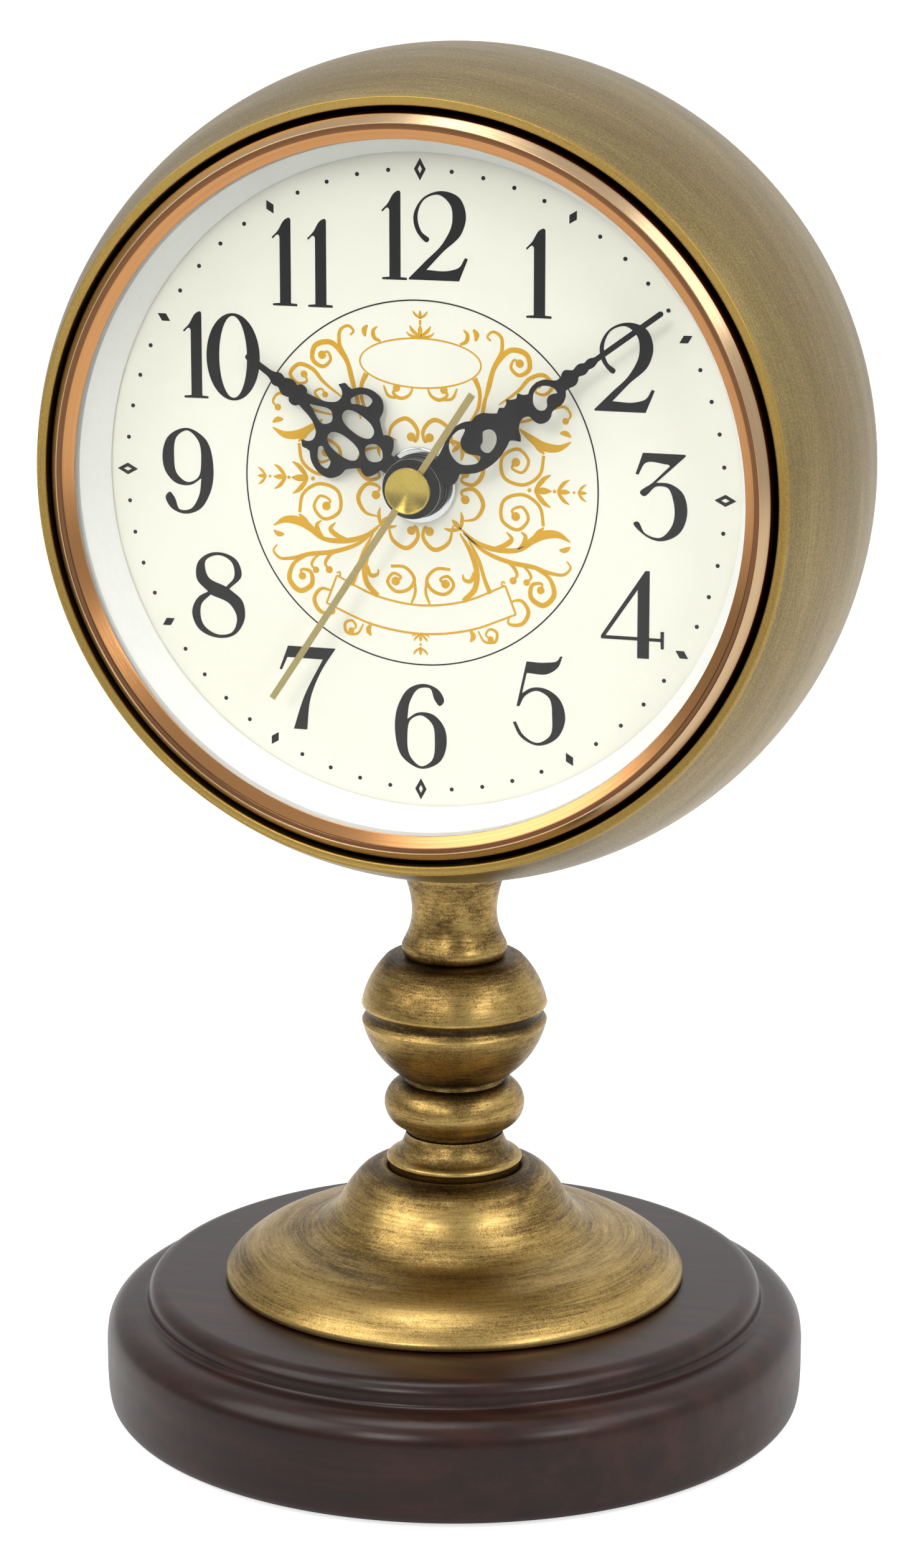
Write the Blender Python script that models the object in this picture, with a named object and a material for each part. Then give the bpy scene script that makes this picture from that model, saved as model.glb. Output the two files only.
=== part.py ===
"""A ball-shaped table clock on a turned stem and a round wooden base, as an assembly of its separate pieces.

The origin is on the surface that the clock stands on, under the stem. +Z is up, the dial faces -Y, and +X is
on the right of someone who reads the dial. Every dimension below is in millimetres.
"""

import math

import bmesh
import bpy
from mathutils import Matrix, Vector

MM = 0.001
GAP = 0.3                     # air between pieces that touch on the real clock
BIG_SIDES, STEM_SIDES, ROD_SIDES = 40, 26, 12

# --- Ball case ------------------------------------------------------------------------------------
BALL_R = 85.0                 # outside radius of the ball
BALL_Y = 1.8                  # how far the ball's centre stands behind the stem's axis
BALL_Z = 200.0                # height of the ball's and the dial's centre
SHELL = 2.5                   # wall of the ball
CASE_FRONT = -34.0            # plane of the front rim
CASE_BACK = 50.0              # plane of the rear rim
BEZEL_SEAT_R = 75.2           # bore of the front rim that takes the bezel

# --- Bezel, glass and dial ------------------------------------------------------------------------
BEZEL_R = 74.7
BEZEL_IN_R = 68.85            # sight radius
SKIRT_IN_R = 72.0
SLOPE_TOP = (71.0, -35.75)    # radius and depth of the outer end of the bezel's inner slope
CREST = (72.1, -36.0)         # radius and depth of the bezel's bright edge
FACE_END = (73.8, -34.0)      # where the bezel's outer slope turns into its skirt
SKIRT_BACK = -18.0
GLASS_FRONT, GLASS_BACK = -33.6, -31.7
GLASS_R = 70.6
DIAL_FRONT = -21.9
DIAL_THICK = 0.6
DIAL_R = 69.5
DIAL_SIGHT_R = 65.5           # dial radius that the inner ring leaves in sight
CHASSIS_R = 71.6
CHASSIS_THICK = 2.5
DIAL_HOLE_R = 5.2

# --- Hands, as a clock at 10:09:35 ----------------------------------------------------------------
HOUR_ANGLE, MINUTE_ANGLE, SECOND_ANGLE = 304.5, 53.8, 213.5   # degrees clockwise from 12
HOUR_LENGTH, MINUTE_LENGTH = 43.2, 62.0
SECOND_LENGTH, SECOND_TAIL = 52.4, 23.4
HOUR_Y, MINUTE_Y, SECOND_Y = -24.4, -27.8, -29.5              # front faces
HAND_THICK = 0.5
CAP_R, CAP_FRONT = 4.6, -30.6
NUT_R, NUT_THICK = 7.6, 1.1
BUSH_STANDS = 1.7             # how far the bush stands out of the dial

# --- Going train ----------------------------------------------------------------------------------
TEETH = {"rotor": 6, "inter_wheel": 36, "inter_pinion": 8, "second_wheel": 40, "second_pinion": 6,
         "third_wheel": 45, "third_pinion": 6, "centre_wheel": 48, "cannon": 10, "minute_wheel": 30,
         "minute_pinion": 8, "hour_wheel": 32, "knob_pinion": 10}
THIRD_AT = (10.5, 200.0)      # distance and direction from the dial's centre, degrees from +X towards +Z
MINUTE_AT = (11.0, -10.0)
INTER_AT = (12.0, 90.0)
ROTOR_FROM_INTER = (10.5, 50.0)
LEVEL = {"hour": (-15.6, -14.8), "motion": (-13.8, -13.0), "centre": (-11.8, -11.0), "third": (-9.6, -8.8),
         "second": (-7.4, -6.6), "inter": (-5.2, -4.4), "magnet": (-3.4, -0.6)}
SECOND_ARBOR_R = 0.7
CANNON_IN_R, CANNON_OUT_R = 1.0, 1.9
HOUR_IN_R, HOUR_OUT_R = 2.2, 2.9
BUSH_IN_R, BUSH_OUT_R = 3.2, 4.6
ARBOR_R = 0.6
TOOTH_SHARE = 0.34            # part of the pitch that a tooth fills at the pitch circle

# --- Movement and chime ---------------------------------------------------------------------------
MOVEMENT_HALF = 28.0
MOVEMENT_FRONT, MOVEMENT_PLATE = -18.2, 2.0
MOVEMENT_BACK = 3.0
MOVEMENT_WALL = 1.6
MAGNET_R = 3.3
COIL_Y = -10.0                # depth of the drive coil's axis

# --- Rear -----------------------------------------------------------------------------------------
COVER_R = 69.0
COVER_FRONT, COVER_THICK = 50.3, 2.5
COVER_BACK = COVER_FRONT + COVER_THICK
COVER_RIM = (64.2, 66.2, 46.0)          # inner and outer radius and front end of the locating rim
POST_AT = 56.0                          # radius of the four post centres
POST_R = 4.0
SCREW_R, SCREW_HOLE_R, SCREW_HEAD_R = 1.4, 1.8, 3.4
BAY = (-28.0, 28.0, -48.0, -14.0)       # battery opening: x and height from the dial's centre
BAY_DEPTH = 18.5
CELL_R, CELL_LENGTH = 7.1, 49.2
CELL_ROWS = (-39.0, -23.0)
SPEAKER_AT = (0.0, 34.0)
SPEAKER_R = 20.0
SET_KNOB_R, SET_KNOB_BACK = 6.5, 58.0
VOLUME_AT, VOLUME_R = (-38.0, 8.0), 6.0
SWITCH_AT, SWITCH_TRAVEL = (-33.0, -6.0), 5.0
BUTTON_AT, BUTTON_R = (40.0, 6.0), 3.5

# --- Stem and base --------------------------------------------------------------------------------
ROD_R, ROD_BORE_R = 2.5, 2.9
ROD_BOTTOM, ROD_TOP = 2.6, 127.0
BASE_BOTTOM, BASE_TOP = 1.0, 27.2
BASE_R = 73.5
TIER_R, LEDGE_Z = 64.8, 22.1
FOOT_R, FOOT_AT = 6.5, 58.0
COUNTERBORE = (13.0, 10.5)              # radius and height of the pocket for the lower nut
FLANGE_R = 48.4

COLOURS = {
    "antique_bronze": ((0.40, 0.28, 0.13), 0.34, 1.0), "copper": ((0.80, 0.50, 0.33), 0.25, 1.0),
    "mahogany": ((0.055, 0.018, 0.012), 0.30, 0.0), "black_paint": ((0.012, 0.012, 0.012), 0.45, 0.0),
    "dial_white": ((0.86, 0.85, 0.80), 0.55, 0.0), "ring_white": ((0.83, 0.84, 0.85), 0.35, 0.0),
    "clear_glass": ((0.92, 0.95, 0.94), 0.02, 0.0), "polished_brass": ((0.83, 0.65, 0.26), 0.18, 1.0),
    "khaki_gold": ((0.53, 0.44, 0.20), 0.35, 1.0), "chrome": ((0.75, 0.75, 0.76), 0.10, 1.0),
    "zinc_steel": ((0.56, 0.56, 0.55), 0.35, 1.0), "black_plastic": ((0.020, 0.020, 0.022), 0.50, 0.0),
    "natural_plastic": ((0.72, 0.70, 0.64), 0.40, 0.0), "rubber": ((0.03, 0.03, 0.03), 0.80, 0.0),
    "board_green": ((0.03, 0.16, 0.07), 0.40, 0.0), "copper_wire": ((0.62, 0.27, 0.10), 0.35, 1.0),
    "ferrite": ((0.05, 0.05, 0.055), 0.60, 0.0), "speaker_paper": ((0.07, 0.065, 0.06), 0.85, 0.0),
    "cell_sleeve": ((0.10, 0.12, 0.22), 0.35, 0.0),
}


# === Tools ========================================================================================

def material(slot):
    """The Principled material of one colour entry, made once."""
    known = bpy.data.materials.get(slot)
    if known:
        return known
    colour, roughness, metallic = COLOURS[slot]
    new = bpy.data.materials.new(slot)
    new.use_nodes = True
    shader = new.node_tree.nodes["Principled BSDF"]
    shader.inputs["Base Color"].default_value = (*colour, 1.0)
    shader.inputs["Roughness"].default_value = roughness
    shader.inputs["Metallic"].default_value = metallic
    if slot == "clear_glass":
        shader.inputs["Transmission Weight"].default_value = 1.0
    return new


def finish_mesh(name, bm, slot, origin=(0.0, 0.0, 0.0)):
    """Turns a bmesh in millimetres into an object in metres whose origin is at the given point."""
    bmesh.ops.recalc_face_normals(bm, faces=bm.faces[:])
    bmesh.ops.translate(bm, verts=bm.verts[:], vec=-Vector(origin))
    bmesh.ops.scale(bm, verts=bm.verts[:], vec=(MM, MM, MM))
    mesh = bpy.data.meshes.new(name)
    bm.to_mesh(mesh)
    bm.free()
    mesh.shade_smooth()
    mesh.set_sharp_from_angle(angle=math.radians(35))
    mesh.materials.append(material(slot))
    obj = bpy.data.objects.new(name, mesh)
    obj.location = Vector(origin) * MM
    bpy.context.scene.collection.objects.link(obj)
    return obj


def arc(centre, radius, start, end, steps):
    """Points on an arc, from one angle to another in degrees."""
    out = []
    for i in range(steps + 1):
        angle = math.radians(start + (end - start) * i / steps)
        out.append((centre[0] + radius * math.cos(angle), centre[1] + radius * math.sin(angle)))
    return out


def circle(centre, radius, sides):
    return arc(centre, radius, 0, 360.0 * (sides - 1) / sides, sides - 1)


def rectangle(x0, x1, z0, z1):
    return [(x0, z0), (x1, z0), (x1, z1), (x0, z1)]


def turned(name, profile, slot, sides=BIG_SIDES, axis="Z", origin=(0.0, 0.0, 0.0)):
    """A solid of revolution from a profile of (radius, height along the axis). It closes on itself, or on the
    axis where it starts and ends at radius 0."""
    bm = bmesh.new()
    rings = []
    for radius, height in profile:
        count = sides if radius > 1e-6 else 1
        ring = []
        for i in range(count):
            angle = 2 * math.pi * i / sides
            across, up = radius * math.cos(angle), radius * math.sin(angle)
            point = (across, up, height) if axis == "Z" else (across, height, up)
            ring.append(bm.verts.new(Vector(point) + Vector(origin)))
        rings.append(ring)
    closed = len(rings[0]) > 1
    for n in range(len(rings) if closed else len(rings) - 1):
        one, two = rings[n], rings[(n + 1) % len(rings)]
        for i in range(sides):
            j = (i + 1) % sides
            corners = [one[i % len(one)], one[j % len(one)], two[j % len(two)], two[i % len(two)]]
            unique = list(dict.fromkeys(corners))
            if len(unique) > 2:
                bm.faces.new(unique)
    return finish_mesh(name, bm, slot, origin)


def add_loop(bm, points, y):
    verts = [bm.verts.new((x, y, z)) for x, z in points]
    edges = [bm.edges.new((verts[i], verts[(i + 1) % len(verts)])) for i in range(len(verts))]
    return verts, edges


def add_wall(bm, front, back):
    for i in range(len(front)):
        j = (i + 1) % len(front)
        bm.faces.new((front[i], front[j], back[j], back[i]))


def stacked(name, layers, slot, holes=(), origin=(0.0, 0.0, 0.0)):
    """One solid from flat layers (outline, front, back) that follow each other along Y, each outline wholly
    inside or outside its neighbour's. Holes run through every layer."""
    bm = bmesh.new()
    first, last = layers[0][1], layers[-1][2]
    hole_front = [add_loop(bm, hole, first) for hole in holes]
    hole_back = [add_loop(bm, hole, last) for hole in holes]
    for (front, _), (back, _) in zip(hole_front, hole_back):
        add_wall(bm, front, back)
    open_edges = [e for _, edges in hole_front for e in edges]
    for outline, y0, y1 in layers:
        front, front_edges = add_loop(bm, outline, y0)
        back, back_edges = add_loop(bm, outline, y1)
        bmesh.ops.triangle_fill(bm, use_beauty=True, use_dissolve=False, edges=open_edges + front_edges)
        add_wall(bm, front, back)
        open_edges = back_edges
    open_edges = open_edges + [e for _, edges in hole_back for e in edges]
    bmesh.ops.triangle_fill(bm, use_beauty=True, use_dissolve=False, edges=open_edges)
    return finish_mesh(name, bm, slot, origin)


def lifted(points, dx=0.0, dz=BALL_Z):
    """Dial coordinates (x, height from the dial's centre) in the clock's own frame."""
    return [(x + dx, z + dz) for x, z in points]


def block(name, x, y, z, slot, origin=(0.0, 0.0, 0.0)):
    return stacked(name, [(rectangle(x[0], x[1], z[0], z[1]), y[0], y[1])], slot, origin=origin)


def cutter(obj):
    obj.hide_render = True
    obj.display_type = "WIRE"
    return obj


def cut(obj, tool, operation="DIFFERENCE"):
    """Adds a Boolean to an object. The tool object stays in the scene as a hidden wire."""
    modifier = obj.modifiers.new(operation.lower(), "BOOLEAN")
    modifier.operation = operation
    modifier.solver = "EXACT"
    modifier.object = cutter(tool)


def bar(name, start, end, radius, slot, sides=20, axis="Y"):
    """A round bar between two points on a line along Y or Z."""
    at = (start[0], 0.0, start[2]) if axis == "Y" else (start[0], start[1], 0.0)
    low, high = (start[1], end[1]) if axis == "Y" else (start[2], end[2])
    return turned(name, [(0, high), (radius, high), (radius, low), (0, low)], slot, sides, axis, at)


# === Gears ========================================================================================

def polar(distance, degrees):
    angle = math.radians(degrees)
    return (distance * math.cos(angle), distance * math.sin(angle))


def gear_outline(teeth, pitch_r, phase, centre):
    """Slim pointed teeth on a root circle. The phase is the direction of one tooth, in radians."""
    pitch = 2 * math.pi * pitch_r / teeth
    tip, root = pitch_r + 0.20 * pitch, pitch_r - 0.34 * pitch
    half = 0.5 * TOOTH_SHARE * 2 * math.pi / teeth
    points = []
    for n in range(teeth):
        at = phase + 2 * math.pi * n / teeth
        corners = ((root, -1.7 * half), (tip, -0.35 * half), (tip, 0.35 * half), (root, 1.7 * half))
        for radius, turn in corners:
            if teeth > 20 and turn > 0 and radius == tip:
                continue
            shift = 0.0 if teeth > 20 and radius == tip else turn
            angle = at + shift
            points.append((centre[0] + radius * math.cos(angle), centre[1] + radius * math.sin(angle)))
    return points


def mesh_phase(phase, teeth, other_teeth, direction):
    """The phase of a gear that meshes with one of the given phase, in a direction from it (radians)."""
    return direction + math.pi + math.pi / other_teeth + (direction - phase) * teeth / other_teeth


def pitch_radii(distance, one, two):
    share = TEETH[one] / (TEETH[one] + TEETH[two])
    return distance * share, distance * (1 - share)


def make_train():
    """The quartz movement's wheels, each in mesh with the next at rest."""
    centre = (0.0, BALL_Z)
    third = tuple(lifted([polar(*THIRD_AT)])[0])
    minute = tuple(lifted([polar(*MINUTE_AT)])[0])
    inter = tuple(lifted([polar(*INTER_AT)])[0])
    step = polar(*ROTOR_FROM_INTER)
    rotor = (inter[0] + step[0], inter[1] + step[1])
    knob = (minute[0] + polar(*MINUTE_AT)[0], minute[1] + polar(*MINUTE_AT)[1])

    second_pinion_r, third_wheel_r = pitch_radii(THIRD_AT[0], "second_pinion", "third_wheel")
    third_pinion_r, centre_wheel_r = pitch_radii(THIRD_AT[0], "third_pinion", "centre_wheel")
    cannon_r, minute_wheel_r = pitch_radii(MINUTE_AT[0], "cannon", "minute_wheel")
    minute_pinion_r, hour_wheel_r = pitch_radii(MINUTE_AT[0], "minute_pinion", "hour_wheel")
    inter_pinion_r, second_wheel_r = pitch_radii(INTER_AT[0], "inter_pinion", "second_wheel")
    rotor_r, inter_wheel_r = pitch_radii(ROTOR_FROM_INTER[0], "rotor", "inter_wheel")
    knob_r = MINUTE_AT[0] - minute_wheel_r

    to_third = math.radians(THIRD_AT[1])
    to_minute = math.radians(MINUTE_AT[1])
    to_inter = math.radians(INTER_AT[1])
    to_rotor = math.radians(ROTOR_FROM_INTER[1])
    back = math.pi
    third_phase = mesh_phase(0.0, TEETH["second_pinion"], TEETH["third_wheel"], to_third)
    centre_phase = mesh_phase(third_phase, TEETH["third_pinion"], TEETH["centre_wheel"], to_third + back)
    minute_phase = mesh_phase(centre_phase, TEETH["cannon"], TEETH["minute_wheel"], to_minute)
    hour_phase = mesh_phase(minute_phase, TEETH["minute_pinion"], TEETH["hour_wheel"], to_minute + back)
    knob_phase = mesh_phase(minute_phase, TEETH["minute_wheel"], TEETH["knob_pinion"], to_minute)
    inter_phase = mesh_phase(0.0, TEETH["second_wheel"], TEETH["inter_pinion"], to_inter)
    rotor_phase = mesh_phase(inter_phase, TEETH["inter_wheel"], TEETH["rotor"], to_rotor)

    def wheel(key, radius, phase, at):
        return gear_outline(TEETH[key], radius, phase, at)

    def round_at(at, radius, sides=12):
        return circle(at, radius, sides)

    hub_y = MINUTE_Y + HAND_THICK + GAP
    stacked("second_wheel", [
        (round_at(centre, SECOND_ARBOR_R), SECOND_Y + HAND_THICK + GAP, LEVEL["third"][0]),
        (wheel("second_pinion", second_pinion_r, 0.0, centre), LEVEL["third"][0], LEVEL["third"][1]),
        (round_at(centre, SECOND_ARBOR_R), LEVEL["third"][1], LEVEL["second"][0]),
        (wheel("second_wheel", second_wheel_r, 0.0, centre), *LEVEL["second"]),
        (round_at(centre, SECOND_ARBOR_R), LEVEL["second"][1], LEVEL["inter"][0] - GAP),
    ], "natural_plastic", origin=(0, 0, BALL_Z))
    stacked("centre_wheel", [
        (round_at(centre, CANNON_OUT_R, 16), hub_y, LEVEL["motion"][0]),
        (wheel("cannon", cannon_r, centre_phase, centre), *LEVEL["motion"]),
        (round_at(centre, CANNON_OUT_R, 16), LEVEL["motion"][1], LEVEL["centre"][0]),
        (wheel("centre_wheel", centre_wheel_r, centre_phase, centre), *LEVEL["centre"]),
    ], "natural_plastic", holes=[circle(centre, CANNON_IN_R, 12)], origin=(0, 0, BALL_Z))
    stacked("hour_wheel", [
        (round_at(centre, HOUR_OUT_R, 16), HOUR_Y + HAND_THICK + GAP, LEVEL["hour"][0]),
        (wheel("hour_wheel", hour_wheel_r, hour_phase, centre), *LEVEL["hour"]),
    ], "natural_plastic", holes=[circle(centre, HOUR_IN_R, 16)], origin=(0, 0, BALL_Z))
    stacked("third_wheel", [
        (wheel("third_pinion", third_pinion_r, third_phase, third), LEVEL["centre"][0] - GAP,
         LEVEL["third"][0]),
        (wheel("third_wheel", third_wheel_r, third_phase, third), *LEVEL["third"]),
        (round_at(third, ARBOR_R), LEVEL["third"][1], LEVEL["third"][1] + 0.8),
    ], "natural_plastic", origin=(third[0], 0, third[1]))
    stacked("minute_wheel", [
        (wheel("minute_pinion", minute_pinion_r, minute_phase, minute), *LEVEL["hour"]),
        (round_at(minute, ARBOR_R), LEVEL["hour"][1], LEVEL["motion"][0]),
        (wheel("minute_wheel", minute_wheel_r, minute_phase, minute), *LEVEL["motion"]),
        (round_at(minute, ARBOR_R), LEVEL["motion"][1], LEVEL["motion"][1] + 0.8),
    ], "natural_plastic", origin=(minute[0], 0, minute[1]))
    stacked("intermediate_wheel", [
        (round_at(inter, ARBOR_R), LEVEL["third"][1], LEVEL["second"][0] - GAP),
        (wheel("inter_pinion", inter_pinion_r, inter_phase, inter), LEVEL["second"][0] - GAP,
         LEVEL["inter"][0]),
        (wheel("inter_wheel", inter_wheel_r, inter_phase, inter), *LEVEL["inter"]),
        (round_at(inter, ARBOR_R), LEVEL["inter"][1], LEVEL["inter"][1] + 0.6),
    ], "natural_plastic", origin=(inter[0], 0, inter[1]))
    stacked("rotor", [
        (wheel("rotor", rotor_r, rotor_phase, rotor), LEVEL["inter"][0] - GAP, LEVEL["magnet"][0]),
        (circle(rotor, MAGNET_R, 20), *LEVEL["magnet"]),
        (round_at(rotor, ARBOR_R), LEVEL["magnet"][1], LEVEL["magnet"][1] + 0.8),
    ], "ferrite", origin=(rotor[0], 0, rotor[1]))
    stacked("set_knob", [
        (wheel("knob_pinion", knob_r, knob_phase, knob), *LEVEL["motion"]),
        (round_at(knob, ARBOR_R + 0.6, 16), LEVEL["motion"][1], COVER_BACK + 1.2),
        (knurled(knob, SET_KNOB_R, 18), COVER_BACK + 1.2, SET_KNOB_BACK),
    ], "black_plastic", origin=(knob[0], 0, knob[1]))
    return rotor, knob


def knurled(centre, radius, ribs):
    """A round knob's outline with shallow ribs."""
    points = []
    for n in range(2 * ribs):
        angle = math.pi * n / ribs
        reach = radius if n % 2 else radius - 0.5
        points.append((centre[0] + reach * math.cos(angle), centre[1] + reach * math.sin(angle)))
    return points


# === Stem and base ================================================================================

def make_base():
    tier_round = arc((TIER_R - 3.2, BASE_TOP - 3.2), 3.2, 90, 0, 3)
    shoulder = arc((BASE_R - 5.0, LEDGE_Z - 5.0), 5.0, 90, 0, 5)
    pocket_r, pocket_z = COUNTERBORE
    profile = ([(ROD_BORE_R, BASE_TOP)] + tier_round + [(TIER_R, LEDGE_Z + 1.0), (TIER_R + 1.0, LEDGE_Z)]
               + shoulder + [(BASE_R + 0.1, 10.0), (BASE_R - 0.2, 3.5), (BASE_R - 1.0, BASE_BOTTOM)]
               + [(pocket_r, BASE_BOTTOM), (pocket_r, pocket_z), (ROD_BORE_R, pocket_z)])
    base = turned("wood_base", profile, "mahogany")
    for n in range(4):
        x, y = polar(FOOT_AT, 45 + 90 * n)
        socket = bar(f"foot_socket_{n + 1}", (x, y, BASE_BOTTOM - 1.0), (x, y, 2.2), FOOT_R + GAP, "rubber",
                     ROD_SIDES, "Z")
        cut(base, socket)
        turned(f"rubber_foot_{n + 1}", [(0, 1.9), (FOOT_R, 1.9), (FOOT_R, 0.5), (FOOT_R - 0.5, 0), (0, 0)],
               "rubber", ROD_SIDES, "Z", (x, y, 0))


def hexagon_nut(name, z0, z1, across):
    """A hexagon nut on the rod, with its bore."""
    bm = bmesh.new()
    rings = []
    for z in (z0, z1):
        outer = [bm.verts.new((*polar(across, 60 * i), z)) for i in range(6)]
        inner = [bm.verts.new((*polar(ROD_BORE_R, 360 / ROD_SIDES * i), z)) for i in range(ROD_SIDES)]
        rings.append((outer, inner))
        loops = [bm.edges.new((ring[i], ring[(i + 1) % len(ring)]))
                 for ring in (outer, inner) for i in range(len(ring))]
        bmesh.ops.triangle_fill(bm, use_beauty=True, use_dissolve=False, edges=loops)
    add_wall(bm, rings[0][0], rings[1][0])
    add_wall(bm, rings[0][1], rings[1][1])
    return finish_mesh(name, bm, "zinc_steel")


def washer(name, radius, z0, z1):
    profile = [(ROD_BORE_R, z1), (radius, z1), (radius, z0), (ROD_BORE_R, z0)]
    turned(name, profile, "zinc_steel", 2 * ROD_SIDES)


def make_stem():
    """The turned bronze pieces, threaded on one rod between the base and the ball."""
    bar("tie_rod", (0, 0, ROD_BOTTOM), (0, 0, ROD_TOP), ROD_R, "zinc_steel", ROD_SIDES, "Z")
    washer("base_washer", 11.0, 8.7, 10.2)
    hexagon_nut("base_nut", 4.0, 8.4, 5.6)

    flange_bottom = BASE_TOP + GAP
    outer = [(14.6, 51.6), (19.0, 50.2), (22.2, 46.8), (25.0, 42.3), (29.0, 38.6), (34.0, 37.0),
             (39.5, 35.6), (44.5, 32.9), (47.6, 29.9), (FLANGE_R, 28.3), (FLANGE_R - 0.3, flange_bottom)]
    inner = [(46.0, flange_bottom), (43.2, 31.0), (38.5, 33.3), (28.0, 36.2), (22.8, 40.6), (18.5, 46.0),
             (ROD_BORE_R, 48.0)]
    turned("base_flange", [(ROD_BORE_R, 50.3), (13.6, 50.3)] + outer + inner, "antique_bronze")

    neck_top = 58.6
    neck = [(10.2, neck_top), (10.5, 57.6), (11.5, 55.4), (13.6, 53.9), (14.2, 53.0), (13.9, 51.4),
            (12.9, 50.6)]
    turned("lower_neck", [(ROD_BORE_R, neck_top)] + neck + [(ROD_BORE_R, 50.6)], "antique_bronze", STEM_SIDES)
    bead = [(10.0, 58.9)] + arc((9.6, 65.2), 5.1, -65, 65, 6) + [(10.2, 71.4)]
    turned("bead_ring", [(ROD_BORE_R, 71.4)] + bead[::-1] + [(ROD_BORE_R, 58.9)], "antique_bronze",
           STEM_SIDES)

    lower_half = arc((0.6, 87.5), 19.2, -56, -12, 4)
    upper_half = arc((0.6, 83.2), 19.2, 11, 44, 4)
    knop = [(10.8, 71.7)] + lower_half + [(18.4, 84.4), (18.4, 85.9)] + upper_half + [(10.7, 97.0)]
    turned("ball_knop", [(ROD_BORE_R, 97.0)] + knop[::-1] + [(ROD_BORE_R, 71.7)], "antique_bronze",
           STEM_SIDES)

    neck = [(10.5, 97.3), (10.9, 98.4), (10.9, 99.9), (10.0, 101.6), (9.1, 104.4), (8.85, 106.9), (9.2, 110.2),
            (10.0, 113.4), (10.6, 115.25)]
    seat = [(7.0, 114.9), (ROD_BORE_R, 114.7)]
    turned("upper_neck", [(ROD_BORE_R, 97.3)] + neck + seat, "antique_bronze", STEM_SIDES)


# === Case =========================================================================================

def make_case():
    """The hollow ball between its two rims, bored at the bottom for the rod."""
    inside = BALL_R - SHELL
    front_angle = math.degrees(math.asin((CASE_FRONT - BALL_Y) / BALL_R))
    back_angle = math.degrees(math.asin((CASE_BACK - BALL_Y) / BALL_R))
    outside_arc = arc((0, BALL_Y), BALL_R, front_angle + 0.6, back_angle - 0.6, 11)
    seat_depth = math.sqrt(inside ** 2 - BEZEL_SEAT_R ** 2)
    inner_front = -math.degrees(math.asin(seat_depth / inside))
    inner_back = math.degrees(math.asin((CASE_BACK - BALL_Y) / inside))
    inside_arc = arc((0, BALL_Y), inside, inner_back, inner_front, 7)
    lip = [(BEZEL_SEAT_R, CASE_FRONT + 0.4), (BEZEL_SEAT_R + 0.5, CASE_FRONT - 0.1)]
    crest_r = math.sqrt(BALL_R ** 2 - (CASE_FRONT - BALL_Y) ** 2)
    profile = [(crest_r - 0.4, CASE_FRONT - 0.1)] + outside_arc + inside_arc + lip
    shell = turned("case_shell", profile, "antique_bronze", BIG_SIDES, "Y", (0, 0, BALL_Z))
    cut(shell, bar("rod_hole", (0, 0, 110), (0, 0, 125), ROD_BORE_R + 0.3, "zinc_steel", ROD_SIDES, "Z"))
    washer("case_washer", 9.0, 119.0, 120.5)
    hexagon_nut("case_nut", 120.8, 125.5, 5.6)


def make_front():
    """Bezel, glass, the white ring round the dial, the dial and the chassis behind it."""
    at = (0, 0, BALL_Z)
    seat = GLASS_FRONT - GAP
    turned("bezel", [(BEZEL_IN_R, seat - 0.2), SLOPE_TOP, CREST, FACE_END, (BEZEL_R, FACE_END[1] + 2.0),
                     (BEZEL_R, SKIRT_BACK), (SKIRT_IN_R, SKIRT_BACK), (SKIRT_IN_R, seat), (BEZEL_IN_R, seat)],
           "copper", BIG_SIDES, "Y", at)
    turned("lens", [(0, GLASS_BACK), (GLASS_R, GLASS_BACK), (GLASS_R, GLASS_FRONT), (0, GLASS_FRONT)],
           "clear_glass", BIG_SIDES, "Y", at)
    ring_front, ring_back = GLASS_BACK + GAP, DIAL_FRONT - GAP
    ring_r = GLASS_R + 0.4
    ring = [(BEZEL_IN_R - 0.1, ring_front), (DIAL_SIGHT_R, ring_back - 0.8), (DIAL_SIGHT_R, ring_back),
            (ring_r, ring_back), (ring_r, ring_front)]
    turned("inner_ring", ring, "ring_white", BIG_SIDES, "Y", at)
    dial_back = DIAL_FRONT + DIAL_THICK
    hole = circle((0, BALL_Z), DIAL_HOLE_R, 24)
    face = circle((0, BALL_Z), DIAL_R, BIG_SIDES)
    stacked("dial", [(face, DIAL_FRONT, dial_back)], "dial_white", [hole], at)

    plate_front = dial_back + GAP
    plate_back = plate_front + CHASSIS_THICK
    disc = circle((0, BALL_Z), CHASSIS_R, BIG_SIDES)
    plate = stacked("chassis", [(disc, plate_front, plate_back)], "black_plastic", [hole], at)
    for n in range(4):
        x, z = polar(POST_AT, 45 + 90 * n)
        post_end = COVER_FRONT - GAP
        up = z + BALL_Z
        post = bar(f"post_{n + 1}", (x, plate_back - 0.8, up), (x, post_end, up), POST_R, "black_plastic", 10)
        cut(plate, post, "UNION")
        pilot = bar(f"pilot_{n + 1}", (x, post_end - 14, up), (x, post_end + 1, up), SCREW_R + GAP,
                    "black_plastic", 8)
        cut(plate, pilot)


# === Hands ========================================================================================

def placed(points, degrees):
    """Turns hand coordinates (along, across) to the given angle clockwise from 12, on the dial's centre."""
    angle = math.radians(degrees)
    along, across = (math.sin(angle), math.cos(angle)), (math.cos(angle), -math.sin(angle))
    return [(u * along[0] + v * across[0], u * along[1] + v * across[1] + BALL_Z) for u, v in points]


def mirrored(half, tip):
    """A closed outline from one side of a hand, its tip and the other side."""
    return half + [tip] + [(u, -v) for u, v in reversed(half)]


def ellipse(centre, half_u, half_v, sides=10):
    return [(centre[0] + half_u * x, centre[1] + half_v * z) for x, z in circle((0, 0), 1.0, sides)]


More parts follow.
